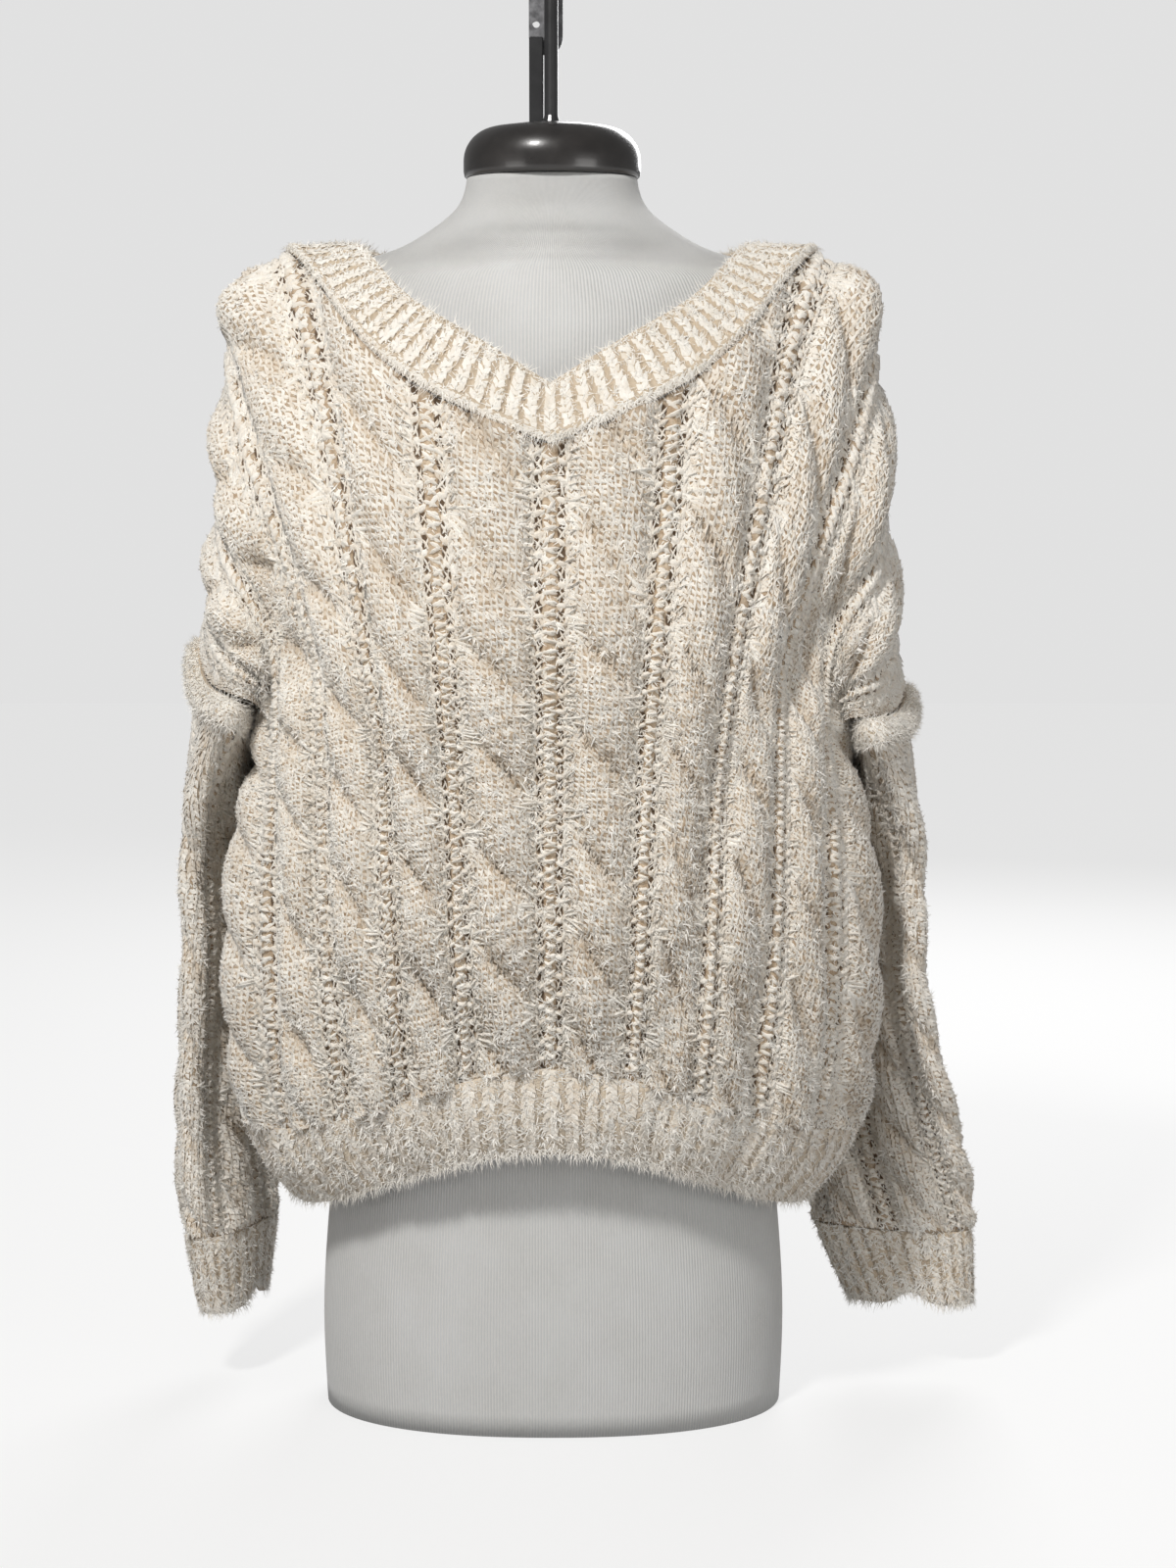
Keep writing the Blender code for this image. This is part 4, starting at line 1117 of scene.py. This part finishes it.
# From the neckline to the band's inner edge, across a profile that is rolled at the seam.
def makeNeckband():
    places = walePlaces[np.abs(walePlaces) <= cut["neckHalf"] + 1e-6]
    across = finePlaces(places, neckband["parts"])[None]
    edges = [panelGrid(across, topCourse(across, back), back) for back in (False, True)]
    seam, normals = (closedRing(front[0], back[0]) for front, back in zip(*edges))
    count = len(seam)
    steps = np.linalg.norm(seam - np.roll(seam, -1, axis=0), axis=1)
    run = np.concatenate([[0], np.cumsum(steps)])
    # The columns and the part of the way round are even along each quarter of the neckline.
    even = np.interp(np.arange(count) * 4 / count, np.arange(5), run[::count // 4])
    seam, normals = (
        np.stack([np.interp(even, run, np.append(axis, axis[0])) for axis in values.T], axis=1)
        for values in (seam, normals)
    )
    normals = unit(normals)
    part = np.interp(even, run[::count // 4], (0.5, 0, 0.5, 1, 0.5))
    knots = [row[0] for row in neckband["edge"]]
    points = np.array([row[1] for row in neckband["edge"]]) * mm
    edge = splineWeights(knots, part) @ points
    edge[:, 0] *= np.where(seam[:, 0] < 0, -1, 1)
    line = unit(np.roll(seam, -1, axis=0) - np.roll(seam, 1, axis=0))
    inward = unit(np.cross(normals, line))
    inward *= np.sign((inward * (edge - seam)).sum(axis=1, keepdims=True))
    start = seam + neckband["start"] * inward
    share, lift, rise, ribbed = (np.array(column)[:, None] for column in zip(*neckband["profile"]))
    base = start + (edge - start) * share[..., None] + normals * lift[..., None]
    wave = ribWave(count, count / neckband["ribs"])
    height = rise + neckband["rise"] * ribbed * wave
    around, width = neckband["flat"][0], neckband["length"]
    grid = np.tile(normals, (len(share), 1, 1))
    cloth = ringCloth(base, grid, height, around, width)
    rows = np.arange(len(share))
    cloth.rowOf = lambda u, v: np.interp(v / width, share[:, 0], rows)
    cloth.along = np.tile(share * width, (1, count))
    ribbedPiece("neckband", cloth, neckband["ribs"], around, neckband)


# The rolled edge at each armhole.
welt = {
    "clear": 0.0115,  # how far outside the side seam it starts at the underarm
    "lean": 0.34,  # outward, at the underarm
    "gap": 0.0006,
    "inset": 0.0006,
    "length": 0.016,
    "rise": 0.0075,
    "lip": 0.06,  # how far it overhangs the sleeve, as a share of its length
    "profile": (
        # share of the length, share of the rise
        (0.0, 0.0), (0.05, 0.30), (0.14, 0.58), (0.32, 0.86), (0.55, 1.0), (0.80, 0.96),
        (1.0, 0.80), (1.05, 0.55), (1.06, 0.30), (1.0, 0.06),
    ),
    "flat": (0.36, 0.028),
    "shown": 0.026,  # over the roll
    "gauge": (0.0046, 0.0036, 0.0028, 0.0014),
    "bright": 0.05,
    "fibres": 6500,
    "size": (0.003, 0.007),
    "loft": (0.0006, 0.0040),
}
# The cabled sleeves.
arm = {
    "columns": 144,
    "rows": 127,
    "gap": 0.0015,  # from the rolled edge
    "inset": 0.0006,
    "repeats": 6,  # cables round the arm
    "length": 0.36,
    "relief": 0.72,  # of the panels' cables
    "flat": (0.40, 0.34),
    "area": 0.112,  # the cut tapers to the cuff
    "gauge": (0.0078, 0.0036, 0.0046, 0.0014),
    "stretch": 1.3,
    "fibres": 9000,
    "size": (0.0025, 0.0052),
    "loft": (0.0004, 0.0026),
    "tufts": 1900,
    "tuftWeight": 1.0,
}
sleeves = {
    -1: {
        # share of the length, centre in mm, half thickness, half width, turn in degrees
        "sections": (
            (0.16, (210, 34, 378), 11, 72, 14), (0.36, (213, 42, 308), 13, 68, 14),
            (0.57, (217, 45, 238), 14, 64, 14), (0.78, (220, 48, 170), 16, 57, 15),
            (1.00, (217, 50, 104), 18, 48, 20),
        ),
        "cuff": ((216, 50, 50), 13, 37, 16),
        # place round the arm, depth, half width as a share of the way round
        "creases": ((3 / 24, 0.0030, 0.05), (0.30, 0.0016, 0.03), (0.66, 0.0026, 0.04),
                    (0.84, 0.0018, 0.03)),
    },
    1: {
        "sections": (
            (0.16, (211, 34, 366), 11, 72, 14), (0.36, (213, 43, 298), 13, 69, 15),
            (0.57, (216, 50, 232), 15, 66, 24), (0.78, (221, 56, 164), 17, 57, 46),
            (1.00, (228, 54, 100), 17, 49, 78),
        ),
        "cuff": ((241, 52, 48), 13, 38, 84),
        "creases": ((9 / 24, 0.0035, 0.05), (0.18, 0.0020, 0.035), (0.60, 0.0024, 0.04),
                    (0.80, 0.0020, 0.03)),
    },
}
# The ribbed cuffs.
cuff = {
    "gap": 0.0006,
    "inset": 0.0009,
    "rise": 0.0024,
    "rows": 13,
    "ribs": 24,
    "around": 0.19,
    "length": 0.054,
    "flat": (0.20, 0.054),
    "corners": (0.009, 1.1),  # how much higher its folded edges end, half width in ribs
    "course": 0.0040,
    "legRise": 0.0013,
    "bright": -0.08,
    "fibres": 2600,
    "size": (0.003, 0.007),
    "loft": (0.0003, 0.0026),
    "tufts": 380,
    "lashes": 700,
    "lean": -math.pi / 2,
    "ground": ribGround,
    "yarn": knitYarn,
}


# Points, outward normals and directions down the arm, from the underarm round the front.
def armholeRing(side):
    count = arm["columns"]
    turn = np.arange(count) / count
    course = (cut["underarm"] + turn * 2 * (1 - cut["underarm"]))[None]
    share = np.full(course.shape, float(side))
    normals = clothNormals(share, course)
    bend = foldHeight(share, course, mainFolds)[..., None]
    points = (smoothCloth(share, course) + normals * bend)[0]
    inner = (0.5 + 0.5 * np.cos(turn * 2 * math.pi)) ** 1.15
    outward = np.array([side, 0.0, 0.0])
    points = points + inner[:, None] * welt["clear"] * outward
    down = unit((0.12 + welt["lean"] * inner[:, None]) * outward + np.array([0.0, 0.0, -1.0]))
    around = np.roll(points, -1, axis=0) - np.roll(points, 1, axis=0)
    return points, unit(np.cross(down, around)) * side, down, 1 - inner**2


# The rolled edge: its profile carried round the armhole, fuller at the shoulder.
def makeWelt(node, ring):
    points, normals, down, fullness = ring
    length, shown = welt["length"], welt["shown"]
    profile = np.array(welt["profile"])
    reach = np.minimum(profile[:, :1], 1 + welt["lip"] * fullness**3) * length
    lift = cut["wall"] + welt["rise"] * (0.12 + 0.88 * fullness) * profile[:, 1:]
    lift = lift - welt["inset"]
    base = points + down * (welt["gap"] + np.minimum(reach, length))[..., None]
    over = down * np.maximum(reach - length, 0)[..., None]
    grid = np.tile(normals, (len(profile), 1, 1))
    around = welt["flat"][0]
    cloth = ringCloth(base, grid, lift, around, shown)
    cloth.points = cloth.points + over
    across, along = knitPlaces(0, around, shown, *welt["gauge"][:2])
    legs = stitchLegs(cloth, across, along, welt["gauge"], 0, welt["bright"])
    loose = [looseFibres(cloth, 0, around, shown, straight(shown), welt)]
    layers = {"stitches": (legs, ribYarn), "fuzz": (loose, fuzzYarn)}
    dressCloth(node, cloth, ribGround, "cream_ribbing", layers, welt["flat"])


# A level ellipse round a sleeve, turned from side-on towards face-on.
def flatRing(side, centre, thick, width, turn, count):
    angle = math.pi + np.arange(count) * 2 * math.pi / count
    tilt = math.radians(turn)
    x = thick * np.cos(angle) * math.cos(tilt) - width * np.sin(angle) * math.sin(tilt)
    y = thick * np.cos(angle) * math.sin(tilt) + width * np.sin(angle) * math.cos(tilt)
    ring = np.stack([centre[0] + x, centre[1] + y, centre[2] + 0 * x], axis=1) * mm
    return ring * np.array([side, 1, 1])


# Rings from the armhole to the cuff, joined by splines, with creases and the cables' relief.
def makeSleeve(side, node, ring):
    points, topNormals, down, _ = ring
    count, rows, length = arm["columns"], arm["rows"], arm["length"]
    sections = sleeves[side]["sections"]
    rings = [points + down * (welt["length"] + arm["gap"])]
    rings += [flatRing(side, *row[1:], count) for row in sections]
    part = np.linspace(0, 1, rows)
    base = splineRings([0.0] + [row[0] for row in sections], rings, part)
    part = part[:, None]
    around = np.roll(base, -1, axis=1) - np.roll(base, 1, axis=1)
    normals = unit(np.cross(np.gradient(base, axis=0), around)) * side
    normals[0] = topNormals
    place = np.arange(count) / count
    for centre, depth, width in sleeves[side]["creases"]:
        line = centre + 0.02 * np.sin(part * 7 + 20 * centre)
        apart = (place - line + 0.5) % 1 - 0.5
        fade = np.sin(math.pi * part) ** 0.5
        base = base - normals * (depth * bell(apart, width) * fade)[..., None]
    girth = arm["repeats"] * cable["repeat"]
    across = np.tile(-side * place * girth, (rows, 1))
    across = np.mod(across + girth / 2, girth) - girth / 2  # a ladder at its middle
    along = np.tile(part * length, (1, count))
    full = np.clip(part / 0.12, 0, 1) * np.clip((1 - part) / 0.05 + 0.4, 0, 1)
    lift = cut["wall"] - arm["inset"] + arm["relief"] * cableRelief(across, along) * full
    lift[0] = cut["wall"] - 0.0004
    cloth = Cloth(
        base, normals, lift, across, along, lambda u, v: v / length * (rows - 1),
        lambda u: np.mod(-side * u / girth, 1.0) * count, True,
    )
    knitPiece(node, cloth, girth / 2, length, straight(length), arm, arm["flat"], arm["area"])
    return base[-1], normals[-1]


# A ring with `parts` straight steps for each of its own.
def finerRing(ring, parts):
    share = np.arange(parts)[:, None] / parts
    following = np.roll(ring, -1, axis=0)
    return (ring[:, None] * (1 - share) + following[:, None] * share).reshape(-1, 3)


# From the sleeve's last ring to a flat foot, which ends a little higher at its folded edges.
def makeCuff(side, node, end):
    top, normals = end
    count, ribs = len(top), cuff["ribs"]
    foot = flatRing(side, *sleeves[side]["cuff"], count)
    apart = np.arange(count) % (count / 2) * ribs / count
    high, width = cuff["corners"]
    for away in (apart, ribs / 2 - apart):
        foot[:, 2] += high * bell(away, width)
    top, foot = finerRing(top - np.array([0, 0, cuff["gap"]]), 2), finerRing(foot, 2)
    normals = unit(finerRing(normals, 2))
    part = np.linspace(0, 1, cuff["rows"])
    middle = 0.45 * top + 0.55 * foot
    base = splineRings((0.0, 0.55, 1.0), (top, middle, foot), part)
    wave = ribWave(len(top), len(top) / ribs)
    swell = 1 - 0.4 * (2 * part[:, None] - 1) ** 6
    lift = cut["wall"] - cuff["inset"] + cuff["rise"] * wave * swell
    grid = np.tile(normals, (len(part), 1, 1))
    cloth = ringCloth(base, grid, lift, cuff["around"], cuff["length"])
    ribbedPiece(node, cloth, ribs, cuff["around"], cuff)


# The dress form.
form = {
    "sections": (
        # height, half width, depth in front, depth behind, in mm
        (0, 149, 95, 97), (60, 151, 97, 99), (140, 146, 96, 96), (230, 138, 92, 92),
        (320, 129, 89, 86), (420, 141, 104, 93), (520, 156, 121, 101), (600, 166, 111, 101),
        (650, 175, 92, 92), (685, 182, 72, 80), (708, 180, 50, 62), (722, 170, 38, 50),
        (731, 154, 30, 44), (738, 121, 30, 46), (752, 84, 42, 50), (768, 62.5, 46, 50),
        (788, 54.5, 47, 49),
    ),
    # how far the throat stands ahead of those sections at its centre: height, distance
    "throat": ((685, 0), (700, 6), (708, 11), (722, 17), (731, 21), (738, 19), (752, 5), (768, 0)),
    "throatWidth": 0.055,
    "square": 2.25,
    "inset": 0.0006,
    "sides": 96,
    # rows: from, to, count
    "levels": ((0, 640, 46), (645, 722, 28), (724, 760, 22), (763, 788, 9)),
    "top": 0.788,
    "ribPitch": 0.0022,
    "ribLevel": 52,  # the row whose girth spaces the cover's ribs
}


# A pale cover with fine upright ribs and faint patches.
def formFinish():
    made = Finish("Pale fine-ribbed cover")
    wrap = made.attribute("wrap")
    rib = (wrap * (2 * math.pi / form["ribPitch"])).sine() * 0.5 + 0.5
    slub = made.noise(420.0, 3.0, 0.6)
    patch = made.noise(22.0, 3.0, 0.6)
    tint = made.blend(patch.between(0.35, 0.68), (0.54, 0.545, 0.535), (0.60, 0.61, 0.61))
    shade = (rib * 0.75 + slub * 0.5).between(0.15, 1.0)
    colour = made.blend(shade, (0.68, 0.67, 0.65), tint)
    return made.surface(
        Base_Color=colour, Roughness=0.85, Specular_IOR_Level=0.2, Sheen_Weight=0.15,
        Normal=made.bump(rib + slub * 0.4, 0.0004, 0.6),
    )


# Level superellipses from the sections, with a fuller throat in front.
def makeForm():
    table = np.array(form["sections"], float)
    levels = np.concatenate([np.linspace(*rows) for rows in form["levels"]])
    sizes = splineWeights(table[:, 0], levels) @ table[:, 1:] * mm - form["inset"]
    angle = np.arange(form["sides"]) / form["sides"] * 2 * math.pi + math.pi / 2
    power = 2 / form["square"]
    across = np.sign(np.cos(angle)) * np.abs(np.cos(angle)) ** power
    ahead = np.sign(np.sin(angle)) * np.abs(np.sin(angle)) ** power
    depth = np.where(ahead[None] < 0, sizes[:, 1:2], sizes[:, 2:3])
    x = sizes[:, :1] * across
    full = np.interp(levels, *zip(*form["throat"])) * mm
    bulge = full[:, None] * bell(x, form["throatWidth"]) * np.clip(-ahead, 0, 1)
    z = np.tile(levels[:, None] * mm, (1, len(angle)))
    z[-1] = form["top"]
    points = np.stack([x, depth * ahead - bulge, z], axis=-1)
    # How far round from the centre back: the same at every level, so that the ribs run upright.
    ring = points[form["ribLevel"]]
    steps = np.linalg.norm(np.roll(ring, -1, axis=0) - ring, axis=-1)
    wrap = np.tile(np.append(0, np.cumsum(steps)[:-1]), (len(levels), 1))
    cover = tube("form_cover", points, formFinish(), {"wrap": wrap})
    standFor(cover, "form_torso")
    print("dress form made")


# Rings joined into a tube, closed at both ends.
def tube(name, points, finish, facts=None):
    index = np.arange(points[..., 0].size).reshape(points.shape[:2])
    faces = [gridQuads(index, True), index[:1, ::-1], index[-1:]]
    return meshObject(name, points.reshape(-1, 3), faces, finish, facts)


# The cap on its neck.
cap = {
    "foot": 0.7885,
    "height": 0.035,
    "half": (0.0560, 0.0510),
    "round": 0.021,
    "crown": 0.0035,
    # from the side inward, and level above the foot
    "lip": ((0.0040, 0.0002), (0.0016, 0.0), (0.0006, 0.0010), (0, 0.004)),
    "sides": 96,
}


# Black with faint smears in its gloss and a fine grain.
def blackFinish(name, colour, roughness, coat):
    made = Finish(name)
    smear = made.noise(38.0, 4.0, 0.6)
    grain = made.noise(900.0, 2.0, 0.5)
    tint = made.blend(smear.between(0.4, 0.75), colour, tuple(value * 1.7 for value in colour))
    gloss = smear.between(0.3, 0.8) * 0.12 + roughness
    return made.surface(
        Base_Color=tint, Roughness=gloss, Coat_Weight=coat, Coat_Roughness=0.12,
        Normal=made.bump(grain, 0.00005, 0.5),
    )


# A profile turned round the neck: a lip, a straight side, a round shoulder, a low crown.
def makeCap():
    side = cap["height"] - cap["round"] - cap["crown"]
    wide = cap["half"][0]
    profile = [(wide - inward, level) for inward, level in cap["lip"]]
    profile += [
        (wide - cap["round"] * (1 - math.cos(turn)), side + cap["round"] * math.sin(turn))
        for turn in np.radians(np.linspace(0, 90, 16))
    ]
    inner = wide - cap["round"]
    profile += [
        (inner * share, cap["height"] - cap["crown"] * share**2)
        for share in (0.85, 0.66, 0.45, 0.25, 0.1)
    ]
    radius, height = np.array([(x, z + cap["foot"]) for x, z in profile]).T[..., None]
    angle = np.arange(cap["sides"]) / cap["sides"] * 2 * math.pi
    y = radius * np.sin(angle) * (cap["half"][1] / wide)
    points = np.stack([radius * np.cos(angle), y, height + 0 * y], axis=-1)
    finish = blackFinish("Semi-gloss black", (0.018, 0.016, 0.015), 0.26, 0.35)
    standFor(tube("cap_dome", points, finish), "neck_cap")
    print("neck cap made")


# The rod, channel and strap keep their solids, with better finishes in their slots.
def finishHardware():
    enamel = blackFinish("Black enamel", (0.015, 0.015, 0.016), 0.34, 0.2)
    steel = Finish("Worn dark steel")
    brushed = steel.noise(160.0, 5.0, 0.65)
    tint = steel.blend(brushed.between(0.35, 0.7), (0.16, 0.16, 0.165), (0.27, 0.27, 0.28))
    steel.surface(Base_Color=tint, Metallic=1.0, Roughness=brushed.between(0.2, 0.9) * 0.3 + 0.3)
    finishes = {"cap_rod": enamel, "rod_channel": enamel, "rod_strap": steel.material}
    for node, finish in finishes.items():
        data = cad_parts[node].data
        for place in range(len(data.materials)):
            data.materials[place] = finish
    print("rod finished")


# A flat square whose glow doesn't reach the object.
def makeFloor():
    half = studio["floorHalf"]
    corners = [[-half, -half, 0], [half, -half, 0], [half, half, 0], [-half, half, 0]]
    finish = Finish("Pale floor").surface(
        Base_Color=(*studio["floor"], 1), Roughness=0.8, Emission_Color=(1, 1, 1, 1),
        Emission_Strength=studio["floorGlow"],
    )
    floor = meshObject("floor", np.array(corners, float), [np.array([[0, 1, 2, 3]])], finish)
    floor.visible_diffuse = False
    floor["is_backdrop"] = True
    print("floor made")


makeStudio()
makePanel("front_panel", False)
makePanel("back_panel", True)
makeHem()
makeNeckband()
for side, word in ((-1, "left"), (1, "right")):
    ring = armholeRing(side)
    makeWelt("armhole_welt_" + word, ring)
    sleeveEnd = makeSleeve(side, "sleeve_" + word, ring)
    makeCuff(side, "cuff_" + word, sleeveEnd)
makeForm()
makeCap()
finishHardware()
makeFloor()

triangles = {
    piece.name: sum(len(polygon.vertices) - 2 for polygon in piece.data.polygons)
    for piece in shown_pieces()
    if piece.type == "MESH"
}
print("triangles", sum(triangles.values()), triangles)
